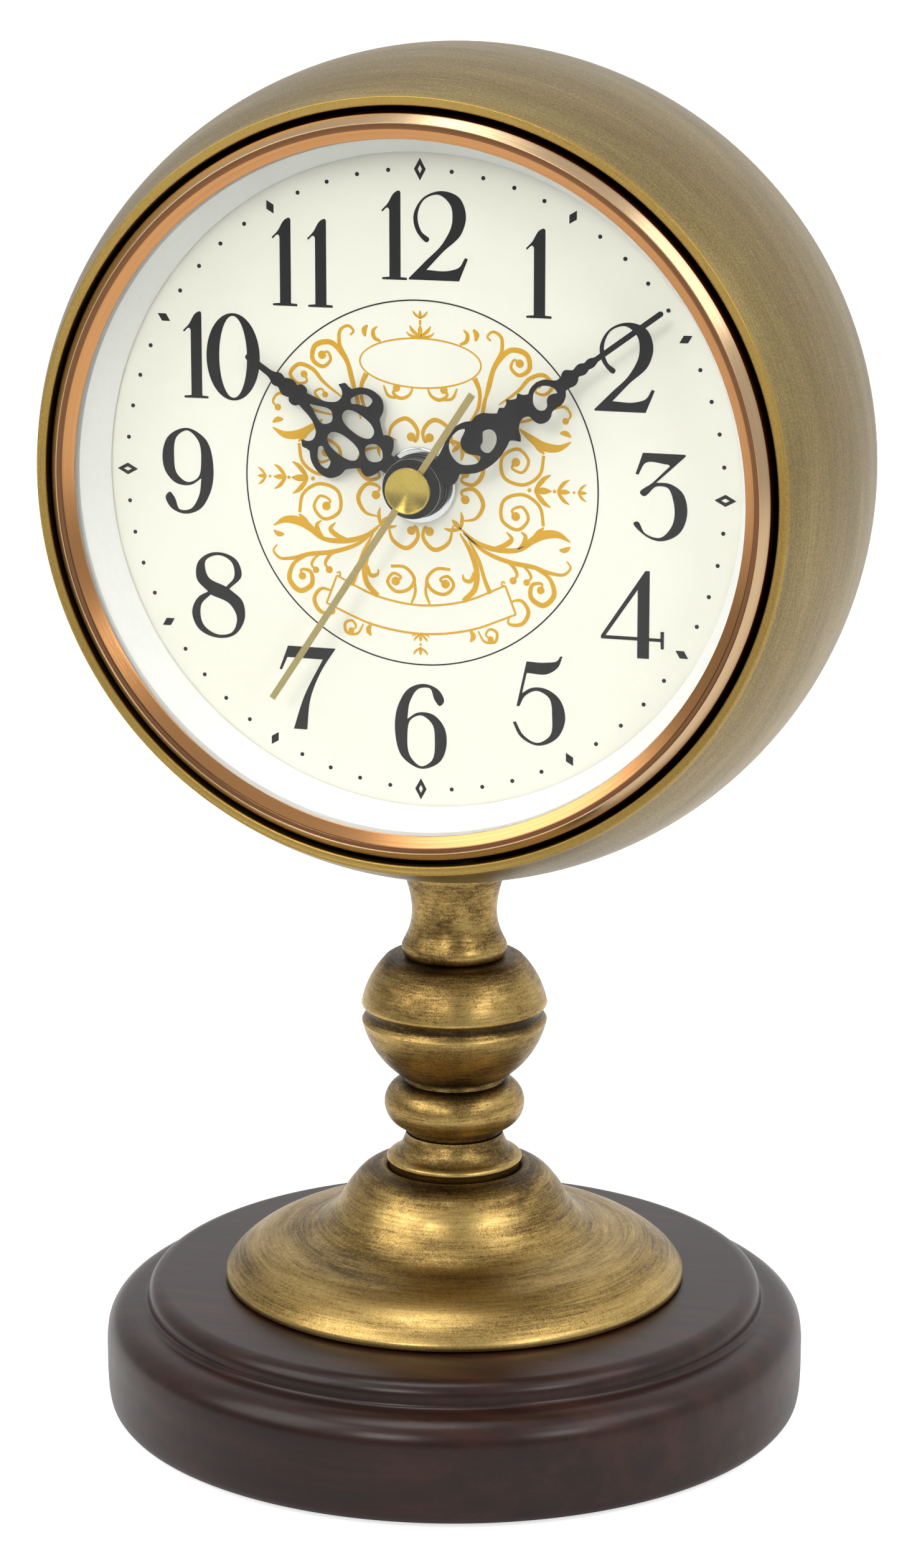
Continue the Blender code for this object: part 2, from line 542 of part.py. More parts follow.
def hand(name, half, length, degrees, front, slot, holes=()):
    """A flat hand from one side of its outline, turned to its place on the dial."""
    outline = placed(mirrored(half, (length, 0)), degrees)
    stacked(name, [(outline, front, front + HAND_THICK)], slot, [placed(h, degrees) for h in holes],
            (0, 0, BALL_Z))


def make_hands():
    hour_half = arc((0, 0), 6.2, 172, 24, 9)
    hour_half += [(9.0, 2.9), (11.5, 6.4), (14.2, 8.8), (16.8, 6.9), (19.5, 8.2), (22.3, 6.4), (23.6, 3.2),
                  (27.0, 4.2), (30.0, 2.0), (33.0, 1.5), (36.5, 0.9)]
    hour_holes = [circle((0, 0), HOUR_IN_R, 16), ellipse((17.0, 3.4), 3.6, 1.9),
                  ellipse((17.0, -3.4), 3.6, 1.9)]
    hand("hour_hand", hour_half, HOUR_LENGTH, HOUR_ANGLE, HOUR_Y, "black_paint", hour_holes)

    minute_half = arc((0, 0), 6.0, 172, 24, 9)
    minute_half += [(9.0, 4.6), (13.5, 5.4), (17.5, 4.4), (20.0, 2.6), (24.5, 3.8), (27.0, 2.0), (30.0, 3.0),
                    (32.5, 1.4), (36.0, 1.1), (50.0, 0.6)]
    minute_holes = [circle((0, 0), CANNON_IN_R, 12), ellipse((12.0, 2.4), 2.6, 1.2),
                    ellipse((12.0, -2.4), 2.6, 1.2), ellipse((29.0, 0), 1.5, 1.2)]
    hand("minute_hand", minute_half, MINUTE_LENGTH, MINUTE_ANGLE, MINUTE_Y, "black_paint", minute_holes)

    second_half = [(-SECOND_TAIL, 0.7), (-3.0, 0.8), (0, 0.8), (3.0, 0.7)]
    hand("second_hand", second_half, SECOND_LENGTH, SECOND_ANGLE, SECOND_Y, "khaki_gold")
    cap_back = SECOND_Y - GAP
    cap = [(0, cap_back), (CAP_R, cap_back), (CAP_R, CAP_FRONT + 0.1), (CAP_R - 0.3, CAP_FRONT),
           (0, CAP_FRONT + 0.15)]
    turned("second_cap", cap, "polished_brass", 24, "Y", (0, 0, BALL_Z))


# === Movement, chime and rear =====================================================================

def make_movement(rotor, knob):
    half = MOVEMENT_HALF
    at = (0, 0, BALL_Z)
    plate_back = MOVEMENT_FRONT + MOVEMENT_PLATE
    bush_front = DIAL_FRONT - BUSH_STANDS
    square = rectangle(-half, half, BALL_Z - half, BALL_Z + half)
    bore = circle((0, BALL_Z), BUSH_IN_R, 24)
    stacked("movement_front", [(circle((0, BALL_Z), BUSH_OUT_R, 24), bush_front, MOVEMENT_FRONT),
                               (square, MOVEMENT_FRONT, plate_back)], "black_plastic", [bore], at)
    nut_back = DIAL_FRONT - GAP
    nut_front = nut_back - NUT_THICK
    turned("hand_nut", [(BUSH_OUT_R + GAP, nut_back), (NUT_R, nut_back), (NUT_R, nut_front + 0.4),
                        (NUT_R - 0.4, nut_front), (BUSH_OUT_R + GAP, nut_front)], "chrome", 24, "Y", at)
    shell = stacked("movement_case", [(square, plate_back + GAP, MOVEMENT_BACK)], "black_plastic", origin=at)
    inner = half - MOVEMENT_WALL
    cut(shell, block("movement_room", (-inner, inner), (plate_back - 1, MOVEMENT_BACK - MOVEMENT_WALL),
                     (BALL_Z - inner, BALL_Z + inner), "black_plastic"))
    cut(shell, bar("knob_stem_hole", (knob[0], 0, knob[1]), (knob[0], 6, knob[1]), ARBOR_R + 1.1,
                   "black_plastic", 16))

    stator_y = LEVEL["magnet"][0] + 0.8
    stator_z = (rotor[1] - 6.0, rotor[1] + 5.5)
    stacked("stator_plate", [(rectangle(-22.0, 20.0, *stator_z), stator_y, stator_y + 0.9)], "zinc_steel",
            [circle(rotor, MAGNET_R + 0.5, 20)], at)
    coil = turned("drive_coil", [(0, -20.5), (4.4, -20.5), (4.4, -3.5), (0, -3.5)], "copper_wire", 16, "Z")
    coil.matrix_world = (Matrix.Translation(Vector((0, COIL_Y, rotor[1])) * MM)
                         @ Matrix.Rotation(math.radians(90), 4, "Y"))
    block("movement_board", (-24, 24), (0.2, 1.1), (BALL_Z - 25, BALL_Z - 8), "board_green")


def make_chime():
    x, z = SPEAKER_AT[0], SPEAKER_AT[1] + BALL_Z
    back = COVER_FRONT - GAP
    r = SPEAKER_R
    frame = [(r, back), (r, back - 1.8), (r - 2.5, back - 2.4), (10.4, back - 9.4), (10.4, back - 10.4),
             (8.4, back - 10.4), (8.4, back - 8.6), (r - 3.0, back - 1.6), (r - 3.0, back)]
    turned("speaker_frame", frame, "zinc_steel", 20, "Y", (x, 0, z))
    turned("speaker_cone", [(0, back - 4.6), (3.5, back - 5.4), (7.4, back - 7.2), (r - 3.6, back - 1.0),
                            (r - 3.6, back - 0.3), (7.4, back - 6.4), (3.5, back - 4.7), (0, back - 3.9)],
           "speaker_paper", 20, "Y", (x, 0, z))
    bar("speaker_magnet", (x, back - 17.0, z), (x, back - 10.7, z), 9.5, "ferrite", 16)
    board_y = (COVER_FRONT - 12.0, COVER_FRONT - 10.6)
    block("chime_board", (-47, -16), board_y, (BALL_Z - 11, BALL_Z + 16), "board_green")

    volume = (VOLUME_AT[0], VOLUME_AT[1] + BALL_Z)
    stacked("volume_knob", [(circle(volume, 2.4, 16), board_y[1] + GAP, COVER_BACK + 0.8),
                            (knurled(volume, VOLUME_R, 12), COVER_BACK + 0.8, COVER_BACK + 4.8)],
            "black_plastic", origin=(volume[0], 0, volume[1]))
    switch = (SWITCH_AT[0], SWITCH_AT[1] + BALL_Z)
    body = rectangle(switch[0] - 4, switch[0] + 4, switch[1] - 3, switch[1] + 3)
    slider = rectangle(switch[0] - 1.6, switch[0] + 1.6, switch[1] - 1.6, switch[1] + 1.6)
    stacked("mode_switch", [(body, COVER_FRONT - 4.0, COVER_FRONT - GAP),
                            (slider, COVER_FRONT - GAP, COVER_BACK + 1.4)],
            "black_plastic", origin=(switch[0], 0, switch[1]))
    button = (BUTTON_AT[0], BUTTON_AT[1] + BALL_Z)
    stacked("monitor_button", [(circle(button, BUTTON_R + 1.2, 20), COVER_FRONT - 1.6, COVER_FRONT - GAP),
                               (circle(button, BUTTON_R, 20), COVER_FRONT - GAP, COVER_BACK + 1.8)],
            "natural_plastic", origin=(button[0], 0, button[1]))
    block("button_switch", (button[0] - 3, button[0] + 3), (COVER_FRONT - 7.8, COVER_FRONT - 3.8),
          (button[1] - 3, button[1] + 3), "black_plastic")


def make_rear(knob):
    at = (0, 0, BALL_Z)
    x0, x1, z0, z1 = BAY
    holes = [rectangle(x0, x1, z0 + BALL_Z, z1 + BALL_Z), circle(knob, SET_KNOB_R - 3.5, 16)]
    holes.append(circle((VOLUME_AT[0], VOLUME_AT[1] + BALL_Z), 3.0, 16))
    holes.append(circle((BUTTON_AT[0], BUTTON_AT[1] + BALL_Z), BUTTON_R + GAP, 20))
    slot_x, slot_z = SWITCH_AT[0], SWITCH_AT[1] + BALL_Z
    slot_half = 2.0 + SWITCH_TRAVEL / 2
    holes.append(rectangle(slot_x - slot_half, slot_x + slot_half, slot_z - 2.0, slot_z + 2.0))
    for n in range(4):
        holes.append(lifted(circle(polar(POST_AT, 45 + 90 * n), SCREW_HOLE_R, 12)))
    for n in range(-3, 4):
        wide = math.sqrt((SPEAKER_R - 3.0) ** 2 - (4.6 * n) ** 2)
        z = SPEAKER_AT[1] + BALL_Z + 4.6 * n
        holes.append(rectangle(-wide, wide, z - 1.1, z + 1.1))
    disc = circle((0, BALL_Z), COVER_R, BIG_SIDES)
    cover = stacked("rear_cover", [(disc, COVER_FRONT, COVER_BACK)], "black_plastic", holes, at)
    rim_in, rim_out, rim_front = COVER_RIM
    rim_back = COVER_FRONT + 1.0
    rim_profile = [(rim_in, rim_back), (rim_out, rim_back), (rim_out, rim_front), (rim_in, rim_front)]
    rim = turned("cover_rim", rim_profile, "black_plastic", BIG_SIDES, "Y", at)
    cut(cover, rim, "UNION")

    wall = 1.5
    box_back = COVER_FRONT - GAP
    box_front = box_back - BAY_DEPTH
    box = block("battery_box", (x0 - wall, x1 + wall), (box_front, box_back),
                (z0 - wall + BALL_Z, z1 + wall + BALL_Z), "black_plastic")
    cut(box, block("bay_room", (x0, x1), (box_front + wall, box_back + 1), (z0 + BALL_Z, z1 + BALL_Z),
                   "black_plastic"))
    hinge = (0, COVER_BACK, z0 + GAP + BALL_Z)
    block("battery_door", (x0 + GAP, x1 - GAP), (COVER_FRONT, COVER_BACK),
          (z0 + GAP + BALL_Z, z1 - GAP + BALL_Z), "black_plastic", hinge)
    cell_y = box_front + wall + GAP + CELL_R
    for n, row in enumerate(CELL_ROWS):
        flip = 1 if n % 2 else -1
        half = CELL_LENGTH / 2
        tip = half + 1.0
        profile = [(0, tip), (2.7, tip), (2.7, half), (CELL_R, half), (CELL_R, -half), (0, -half)]
        cell = turned(f"cell_{n + 1}", profile, "cell_sleeve", 16, "Z")
        cell.matrix_world = (Matrix.Translation(Vector((0, cell_y, row + BALL_Z)) * MM)
                             @ Matrix.Rotation(math.radians(90 * flip), 4, "Y"))
    contact_y = (cell_y - 5, cell_y + 5)
    contact_z = (CELL_ROWS[0] - 6 + BALL_Z, CELL_ROWS[1] + 6 + BALL_Z)
    block("battery_contact_left", (x0 + GAP, x0 + 0.8), contact_y, contact_z, "zinc_steel")
    block("battery_contact_right", (x1 - 0.8, x1 - GAP), contact_y, contact_z, "zinc_steel")
    for n in range(4):
        x, z = polar(POST_AT, 45 + 90 * n)
        tip, seat, top = COVER_FRONT - 12, COVER_BACK + GAP, COVER_BACK + 2.2
        turned(f"rear_screw_{n + 1}", [(0, tip), (SCREW_R, tip), (SCREW_R, seat), (SCREW_HEAD_R, seat),
                                       (SCREW_HEAD_R, top - 1.0), (SCREW_HEAD_R - 1.2, top), (0, top)],
               "zinc_steel", ROD_SIDES, "Y", (x, 0, z + BALL_Z))


def main():
    for old in list(bpy.data.objects):
        bpy.data.objects.remove(old)
    make_base()
    make_stem()
    make_case()
    make_front()
    make_hands()
    rotor, knob = make_train()
    make_movement(rotor, knob)
    make_chime()
    make_rear(knob)


main()
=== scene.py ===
"""The looks of a ball-shaped bronze table clock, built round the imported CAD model.

The CAD model gives every place and size. The visible turned, printed and moulded pieces are finer
meshes that stand for their CAD nodes, and the inner works keep their nodes with better materials.
Lengths below are in millimetres in the clock's own frame: +Z up, the dial faces -Y, the origin under
the stem on the table.
"""

import math

import bmesh
import bpy
from mathutils import Matrix, Vector


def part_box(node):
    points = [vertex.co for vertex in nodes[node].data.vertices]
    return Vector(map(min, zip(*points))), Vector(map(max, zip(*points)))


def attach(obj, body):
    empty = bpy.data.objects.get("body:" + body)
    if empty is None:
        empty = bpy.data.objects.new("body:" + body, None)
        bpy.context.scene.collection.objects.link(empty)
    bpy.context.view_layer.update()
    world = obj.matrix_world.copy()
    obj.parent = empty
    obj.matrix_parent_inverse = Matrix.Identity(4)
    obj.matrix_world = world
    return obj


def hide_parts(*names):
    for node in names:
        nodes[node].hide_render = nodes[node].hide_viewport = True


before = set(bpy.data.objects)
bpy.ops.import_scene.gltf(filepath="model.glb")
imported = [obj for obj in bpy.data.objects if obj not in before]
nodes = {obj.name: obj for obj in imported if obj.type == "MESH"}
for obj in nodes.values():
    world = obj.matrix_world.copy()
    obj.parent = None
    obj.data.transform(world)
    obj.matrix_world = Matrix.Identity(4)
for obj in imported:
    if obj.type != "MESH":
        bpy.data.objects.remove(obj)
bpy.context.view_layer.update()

MM = 0.001
scene = bpy.context.scene


def node_box(node):
    """Lowest and highest corner of a CAD node, in millimetres."""
    low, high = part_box(node)
    return low / MM, high / MM


# === Sizes taken from the CAD model ===============================================================

dial_low, dial_high = node_box("dial")
CENTRE_Z = 0.5 * (dial_low.z + dial_high.z)         # height of the ball's and the dial's centre
DIAL_FACE = dial_low.y
BALL_R = 0.5 * (node_box("case_shell")[1].x - node_box("case_shell")[0].x)
HUB = (0.0, 0.0, CENTRE_Z)
BALL_Y = 1.8                                        # how far the ball's centre stands behind the stem's axis

# === Camera, light and floor ======================================================================

CAMERA_AT = (259.9, -825.5, 346.7)
CAMERA_YAW, CAMERA_PITCH, CAMERA_ROLL = 17.421, 13.83, 0.02   # degrees: turned left, tilted down, rolled
CAMERA_LENS = 99.144
ROOM_LEVEL = 0.52                  # brightness of the room, and how it grows along X, Y and Z
ROOM_SLOPE = (0.14, 0.34, 0.20)


def make_camera():
    data = bpy.data.cameras.new("camera")
    data.lens = CAMERA_LENS
    data.sensor_width = 36.0
    data.clip_start, data.clip_end = 0.05, 60.0
    camera = bpy.data.objects.new("camera", data)
    turn = Matrix.Rotation(math.radians(CAMERA_YAW), 4, "Z")
    tilt = Matrix.Rotation(math.radians(90.0 - CAMERA_PITCH), 4, "X")
    roll = Matrix.Rotation(math.radians(CAMERA_ROLL), 4, "Z")
    camera.matrix_world = Matrix.Translation(Vector(CAMERA_AT) * MM) @ turn @ tilt @ roll
    scene.collection.objects.link(camera)
    scene.camera = camera
    scene.view_settings.view_transform = "Standard"


def add_softbox(name, azimuth, elevation, distance, size, power, colour=(1.0, 1.0, 1.0)):
    """A soft rectangular light aimed at the ball. Azimuth 0 is in front of the dial and 90 on its right."""
    turn, lift = math.radians(azimuth), math.radians(elevation)
    away = Vector((math.sin(turn) * math.cos(lift), -math.cos(turn) * math.cos(lift), math.sin(lift)))
    data = bpy.data.lights.new(name, "AREA")
    data.shape = "RECTANGLE"
    data.size, data.size_y = size
    data.energy = power
    data.color = colour
    light = bpy.data.objects.new(name, data)
    light.matrix_world = (Matrix.Translation(away * distance + Vector(HUB) * MM)
                          @ away.to_track_quat("Z", "Y").to_matrix().to_4x4())
    scene.collection.objects.link(light)


def make_light():
    """A white room that is brightest behind and above the clock and dim in front, and five softboxes."""
    world = bpy.data.worlds.new("studio")
    scene.world = world
    world.use_nodes = True
    tree = world.node_tree
    links = tree.links
    coordinates = tree.nodes.new("ShaderNodeTexCoord")
    level = tree.nodes.new("ShaderNodeVectorMath")
    level.operation = "DOT_PRODUCT"
    level.inputs[1].default_value = ROOM_SLOPE
    links.new(coordinates.outputs["Generated"], level.inputs[0])
    strength = tree.nodes.new("ShaderNodeMath")
    strength.operation = "ADD"
    strength.inputs[1].default_value = ROOM_LEVEL
    links.new(level.outputs["Value"], strength.inputs[0])
    held = tree.nodes.new("ShaderNodeClamp")
    held.inputs["Min"].default_value = 0.05
    held.inputs["Max"].default_value = 1.1
    links.new(strength.outputs[0], held.inputs[0])
    ray = tree.nodes.new("ShaderNodeLightPath")
    mix = tree.nodes.new("ShaderNodeMix")
    mix.data_type = "FLOAT"
    links.new(ray.outputs["Is Camera Ray"], mix.inputs[0])
    links.new(held.outputs[0], mix.inputs[2])
    mix.inputs[3].default_value = 1.0
    links.new(mix.outputs[0], tree.nodes["Background"].inputs["Strength"])
    tree.nodes["Background"].inputs["Color"].default_value = (1.0, 1.0, 1.0, 1.0)

    add_softbox("front_light", -6.0, 26.0, 1.5, (0.36, 0.36), 4.3, (1.0, 0.97, 0.93))
    add_softbox("left_light", -50.0, 36.0, 1.5, (1.0, 1.0), 9.2, (1.0, 0.98, 0.95))
    add_softbox("right_light", 54.0, 25.0, 1.5, (0.36, 0.36), 3.0, (1.0, 0.98, 0.95))
    add_softbox("window_light", 80.0, 42.0, 1.6, (1.0, 0.8), 5.0)
    add_softbox("top_light", -35.0, 78.0, 1.5, (0.6, 0.6), 4.8)


def make_floor():
    bm = bmesh.new()
    bmesh.ops.create_grid(bm, x_segments=1, y_segments=1, size=14.0)
    mesh = bpy.data.meshes.new("floor")
    bm.to_mesh(mesh)
    bm.free()
    floor = bpy.data.objects.new("floor", mesh)
    floor.location.z = -0.1 * MM
    scene.collection.objects.link(floor)
    g = Graph("floor_white")
    g.set(base_color=(0.80, 0.80, 0.80), roughness=0.9, specular_ior_level=0.1)
    g.set(emission_color=(1.0, 1.0, 1.0))
    seen = g.node("ShaderNodeLightPath").outputs["Is Camera Ray"]
    depth = g.node("ShaderNodeSeparateXYZ", Vector=g.place()).outputs["Y"]
    glow = g.span(depth, -250.0, 150.0, 0.02, 0.24)
    g.set(emission_strength=g.math("MAXIMUM", g.math("MULTIPLY", seen, 0.7), glow))
    mesh.materials.append(g.material)


# === Material tools ===============================================================================

class Graph:
    """The node tree of one Principled material."""

    def __init__(self, name):
        self.material = bpy.data.materials.new(name)
        self.material.use_nodes = True
        self.tree = self.material.node_tree
        self.shader = self.tree.nodes["Principled BSDF"]
        self.point = None

    def put(self, socket, value):
        if isinstance(value, bpy.types.NodeSocket):
            self.tree.links.new(value, socket)
        elif isinstance(value, tuple) and socket.type == "RGBA":
            socket.default_value = (*value[:3], 1.0)
        elif value is not None:
            socket.default_value = value

    def node(self, kind, settings=(), **inputs):
        """Adds a node. Settings are its properties, and inputs its sockets by name with _ for a space."""
        made = self.tree.nodes.new(kind)
        for key, value in dict(settings).items():
            setattr(made, key, value)
        for key, value in inputs.items():
            self.put(made.inputs[key.replace("_", " ")], value)
        return made

    def set(self, **inputs):
        """Sets or links the shader's own sockets."""
        names = {"".join(c for c in s.name.lower() if c.isalnum()): s for s in self.shader.inputs}
        for key, value in inputs.items():
            self.put(names[key.replace("_", "")], value)

    def math(self, operation, one, two=None, three=None, clamp=False):
        made = self.node("ShaderNodeMath", {"operation": operation, "use_clamp": clamp})
        for socket, value in zip(made.inputs, (one, two, three)):
            self.put(socket, value)
        return made.outputs[0]

    def place(self):
        """The point in millimetres, in the clock's own frame at rest."""
        if self.point is None:
            found = self.node("ShaderNodeTexCoord").outputs["Object"]
            scaled = self.node("ShaderNodeVectorMath", {"operation": "SCALE"}, Vector=found, Scale=1.0 / MM)
            self.point = scaled.outputs[0]
        return self.point

    def noise(self, scale, detail=2.0, roughness=0.5, vector=None, stretch=None, w=None):
        at = vector or self.place()
        if stretch:
            at = self.node("ShaderNodeVectorMath", {"operation": "MULTIPLY"})
            self.put(at.inputs[0], vector or self.place())
            self.put(at.inputs[1], stretch)
            at = at.outputs[0]
        made = self.node("ShaderNodeTexNoise", {"noise_dimensions": "4D" if w else "3D"})
        self.put(made.inputs["Vector"], at)
        if w:
            self.put(made.inputs["W"], w)
        self.put(made.inputs["Scale"], scale)
        self.put(made.inputs["Detail"], detail)
        self.put(made.inputs["Roughness"], roughness)
        return made.outputs[0]

    def ramp(self, value, *stops, ease="LINEAR"):
        """Stops are (position, colour or grey level)."""
        made = self.node("ShaderNodeValToRGB")
        made.color_ramp.interpolation = ease
        elements = made.color_ramp.elements
        while len(elements) < len(stops):
            elements.new(0.5)
        for element, (position, colour) in zip(elements, stops):
            element.position = position
        for element, (position, colour) in zip(elements, stops):
            tint = colour if isinstance(colour, tuple) else (colour, colour, colour)
            element.color = (*tint, 1.0)
        self.put(made.inputs[0], value)
        return made.outputs[0]

    def mix(self, factor, one, two, blend="MIX"):
        made = self.node("ShaderNodeMix", {"data_type": "RGBA", "blend_type": blend})
        self.put(made.inputs[0], factor)
        self.put(made.inputs[6], one)
        self.put(made.inputs[7], two)
        return made.outputs[2]

    def span(self, value, low, high, to_low=0.0, to_high=1.0):
        made = self.node("ShaderNodeMapRange")
        for socket, given in zip(made.inputs, (value, low, high, to_low, to_high)):
            self.put(socket, given)
        return made.outputs[0]

    def bump(self, height, strength, depth):
        """Relief of the given depth in millimetres."""
        made = self.node("ShaderNodeBump", Height=height, Strength=strength, Distance=depth * MM)
        self.put(self.shader.inputs["Normal"], made.outputs[0])
        return made.outputs[0]

    def mark(self, name):
        """A value stored on the mesh: "wear" is above 0 on edges and below 0 in grooves, and the seam mark
        is 1 at seams."""
        return self.node("ShaderNodeAttribute", {"attribute_name": name}).outputs["Fac"]

    def about(self, axis):
        """(vector round the axis, distance along it, distance from it), for marks that a lathe leaves."""
        split = self.node("ShaderNodeSeparateXYZ", Vector=self.place()).outputs
        if axis == "Z":
            across, up, along = split["X"], split["Y"], split["Z"]
        else:
            across, up, along = split["X"], self.math("SUBTRACT", split["Z"], CENTRE_Z), split["Y"]
        square = self.math("MULTIPLY_ADD", up, up, self.math("MULTIPLY", across, across))
        radius = self.math("MAXIMUM", self.math("SQRT", square), 0.001)
        cosine = self.math("DIVIDE", across, radius)
        sine = self.math("DIVIDE", up, radius)
        return cosine, sine, along, radius

    def streaks(self, axis, round_scale, along_scale, detail=5.0, roughness=0.6):
        """Noise drawn out round an axis, as left by a brush on a turning piece."""
        cosine, sine, along, radius = self.about(axis)
        vector = self.node("ShaderNodeCombineXYZ", X=self.math("MULTIPLY", cosine, round_scale),
                           Y=self.math("MULTIPLY", sine, round_scale),
                           Z=self.math("MULTIPLY", along, along_scale))
        return self.noise(1.0, detail, roughness, vector.outputs[0],
                          w=self.math("MULTIPLY", radius, along_scale))


# === Materials ====================================================================================

def ball_bronze():
    """Antique bronze, brushed round the dial's axis while it span, with a brown patina."""
    g = Graph("ball_bronze")
    fine = g.streaks("Y", 5.0, 2.2, 6.0, 0.7)
    broad = g.streaks("Y", 1.6, 0.14, 3.0, 0.5)
    grain = g.noise(2.6, 4.0, 0.75)
    tone = g.math("ADD", g.math("MULTIPLY", fine, 0.5), g.math("MULTIPLY", broad, 0.4))
    tone = g.math("MULTIPLY_ADD", g.math("SUBTRACT", grain, 0.44), 0.95, tone)
    tone = g.math("MULTIPLY_ADD", g.mark("wear"), 0.10, tone)
    colour = g.ramp(tone, (0.22, (0.115, 0.082, 0.032)), (0.45, (0.235, 0.170, 0.064)),
                    (0.60, (0.320, 0.236, 0.090)), (0.85, (0.54, 0.405, 0.16)))
    lip = g.span(g.about("Y")[2], -33.0, -33.6)
    colour = g.mix(lip, colour, g.ramp(tone, (0.3, (0.22, 0.132, 0.028)), (0.7, (0.42, 0.28, 0.068))))
    g.set(base_color=colour, metallic=1.0, roughness=g.span(tone, 0.2, 0.8, 0.50, 0.36))
    g.set(coat_weight=0.30, coat_roughness=0.35)
    g.bump(g.math("ADD", fine, g.math("MULTIPLY", grain, 0.6)), 0.4, 0.05)
    return g.material


def stem_bronze():
    """The same bronze on the turned stem, rubbed bright on its bulges and darker near its seams."""
    g = Graph("stem_bronze")
    fine = g.streaks("Z", 3.4, 2.4, 6.0, 0.7)
    broad = g.streaks("Z", 1.3, 0.16, 3.0, 0.55)
    grain = g.noise(3.0, 4.0, 0.75)
    spots = g.noise(0.9, 3.0, 0.65)
    tone = g.math("ADD", g.math("MULTIPLY", fine, 0.50), g.math("MULTIPLY", broad, 0.50))
    tone = g.math("MULTIPLY_ADD", g.math("SUBTRACT", grain, 0.5), 0.52, tone)
    tone = g.math("MULTIPLY_ADD", g.math("SUBTRACT", spots, 0.5), 0.16, tone)
    tone = g.math("MULTIPLY_ADD", g.mark("wear"), 0.10, tone)
    # Darker near the seams between the stacked pieces.
    tone = g.math("MULTIPLY_ADD", g.mark("grime"), -0.24, tone)
    colour = g.ramp(tone, (0.24, (0.034, 0.021, 0.010)), (0.40, (0.165, 0.105, 0.036)),
                    (0.52, (0.38, 0.255, 0.084)), (0.78, (0.72, 0.52, 0.195)))
    g.set(base_color=colour, metallic=1.0, roughness=g.span(tone, 0.3, 0.7, 0.44, 0.29))
    g.bump(g.math("ADD", fine, g.math("MULTIPLY", grain, 0.5)), 0.3, 0.04)
    return g.material


def lathe_metal(name, colour, roughness, axis, depth=0.02, contrast=0.18, lines=3.0, brushed=0.0):
    """Bright metal with the fine rings of the lathe, which draw its highlights out across them."""
    g = Graph(name)
    rings = g.streaks(axis, 0.8, lines, 5.0, 0.75)
    tint = g.span(rings, 0.3, 0.7, 1.0 - contrast, 1.0 + 0.5 * contrast)
    # Darker near any seam marked on the mesh.
    tint = g.math("MULTIPLY", tint, g.span(g.mark("grime"), 0.0, 1.0, 1.0, 0.42))
    shade = g.node("ShaderNodeVectorMath", {"operation": "SCALE"}, Scale=tint)
    shade.inputs[0].default_value = colour
    g.set(base_color=shade.outputs[0], metallic=1.0)
    g.set(roughness=g.span(rings, 0.3, 0.7, roughness + 0.07, roughness - 0.05))
    g.bump(rings, 0.5, depth)
    if brushed:
        g.set(anisotropic=brushed, anisotropic_rotation=0.25)
        g.set(tangent=g.node("ShaderNodeTangent", {"direction_type": "RADIAL", "axis": axis}).outputs[0])
    return g.material


def bezel_metal():
    """Rose-gold brass, turned: painted shade makes it darker in the step and outside the face, and a painted
    reflection makes the face, which carries the highlight, paler.
    """
    g = Graph("bezel_copper")
    rings = g.streaks("Y", 0.8, 4.0, 5.0, 0.75)
    radius = g.about("Y")[3]
    zone = g.span(radius, 68.0, 76.0)  # the ramp runs from a radius of 68 mm to one of 76 mm
    # Painted light by radius: the slope keeps the copper's own colour, the step and the rim outside the face
    # get painted shade, and the face gets a paler painted reflection.
    tint = g.ramp(zone, (0.36, (0.60, 0.30, 0.12)), (0.372, (0.22, 0.105, 0.050)),
                  (0.498, (0.20, 0.095, 0.045)),
                  (0.506, (0.62, 0.43, 0.25)), (0.72, (0.60, 0.42, 0.25)), (0.735, (0.22, 0.070, 0.045)))
    shade = g.node("ShaderNodeVectorMath", {"operation": "SCALE"}, Vector=tint,
                   Scale=g.span(rings, 0.3, 0.7, 0.80, 1.12))
    g.set(base_color=shade.outputs[0], metallic=1.0, roughness=g.span(rings, 0.3, 0.7, 0.27, 0.15))
    g.bump(rings, 0.5, 0.02)
    return g.material


def mahogany():
    """Dark red-brown lacquered wood with its grain along X."""
    g = Graph("mahogany_lacquer")
    warp = g.noise(0.02, 2.0, 0.5)
    rings = g.noise(1.0, 4.0, 0.55, stretch=(0.012, 0.22, 0.22))
    pores = g.noise(1.0, 3.0, 0.7, stretch=(0.10, 3.2, 3.2))
    tone = g.math("MULTIPLY_ADD", g.math("SUBTRACT", pores, 0.5), 0.30, rings)
    tone = g.math("MULTIPLY_ADD", g.math("SUBTRACT", warp, 0.5), 0.5, tone)
    colour = g.ramp(tone, (0.25, (0.0100, 0.0034, 0.0024)), (0.50, (0.0185, 0.0056, 0.0036)),
                    (0.80, (0.036, 0.0105, 0.0062)))
    g.set(base_color=colour, roughness=g.span(pores, 0.3, 0.7, 0.46, 0.38))
    g.set(coat_weight=0.50, coat_roughness=0.26, specular_ior_level=0.10)
    g.bump(pores, 0.2, 0.02)
    return g.material


def dial_card():
    """Ivory card with a very fine tooth."""
    g = Graph("dial_card")
    tooth = g.noise(2.5, 3.0, 0.6)
    cloud = g.noise(0.03, 2.0, 0.5)
    tone = g.math("MULTIPLY_ADD", g.math("SUBTRACT", tooth, 0.5), 0.25, cloud)
    g.set(base_color=g.ramp(tone, (0.2, (0.800, 0.786, 0.700)), (0.8, (0.840, 0.827, 0.748))),
          roughness=0.62)
    g.set(specular_ior_level=0.3)
    g.bump(tooth, 0.12, 0.02)
    return g.material


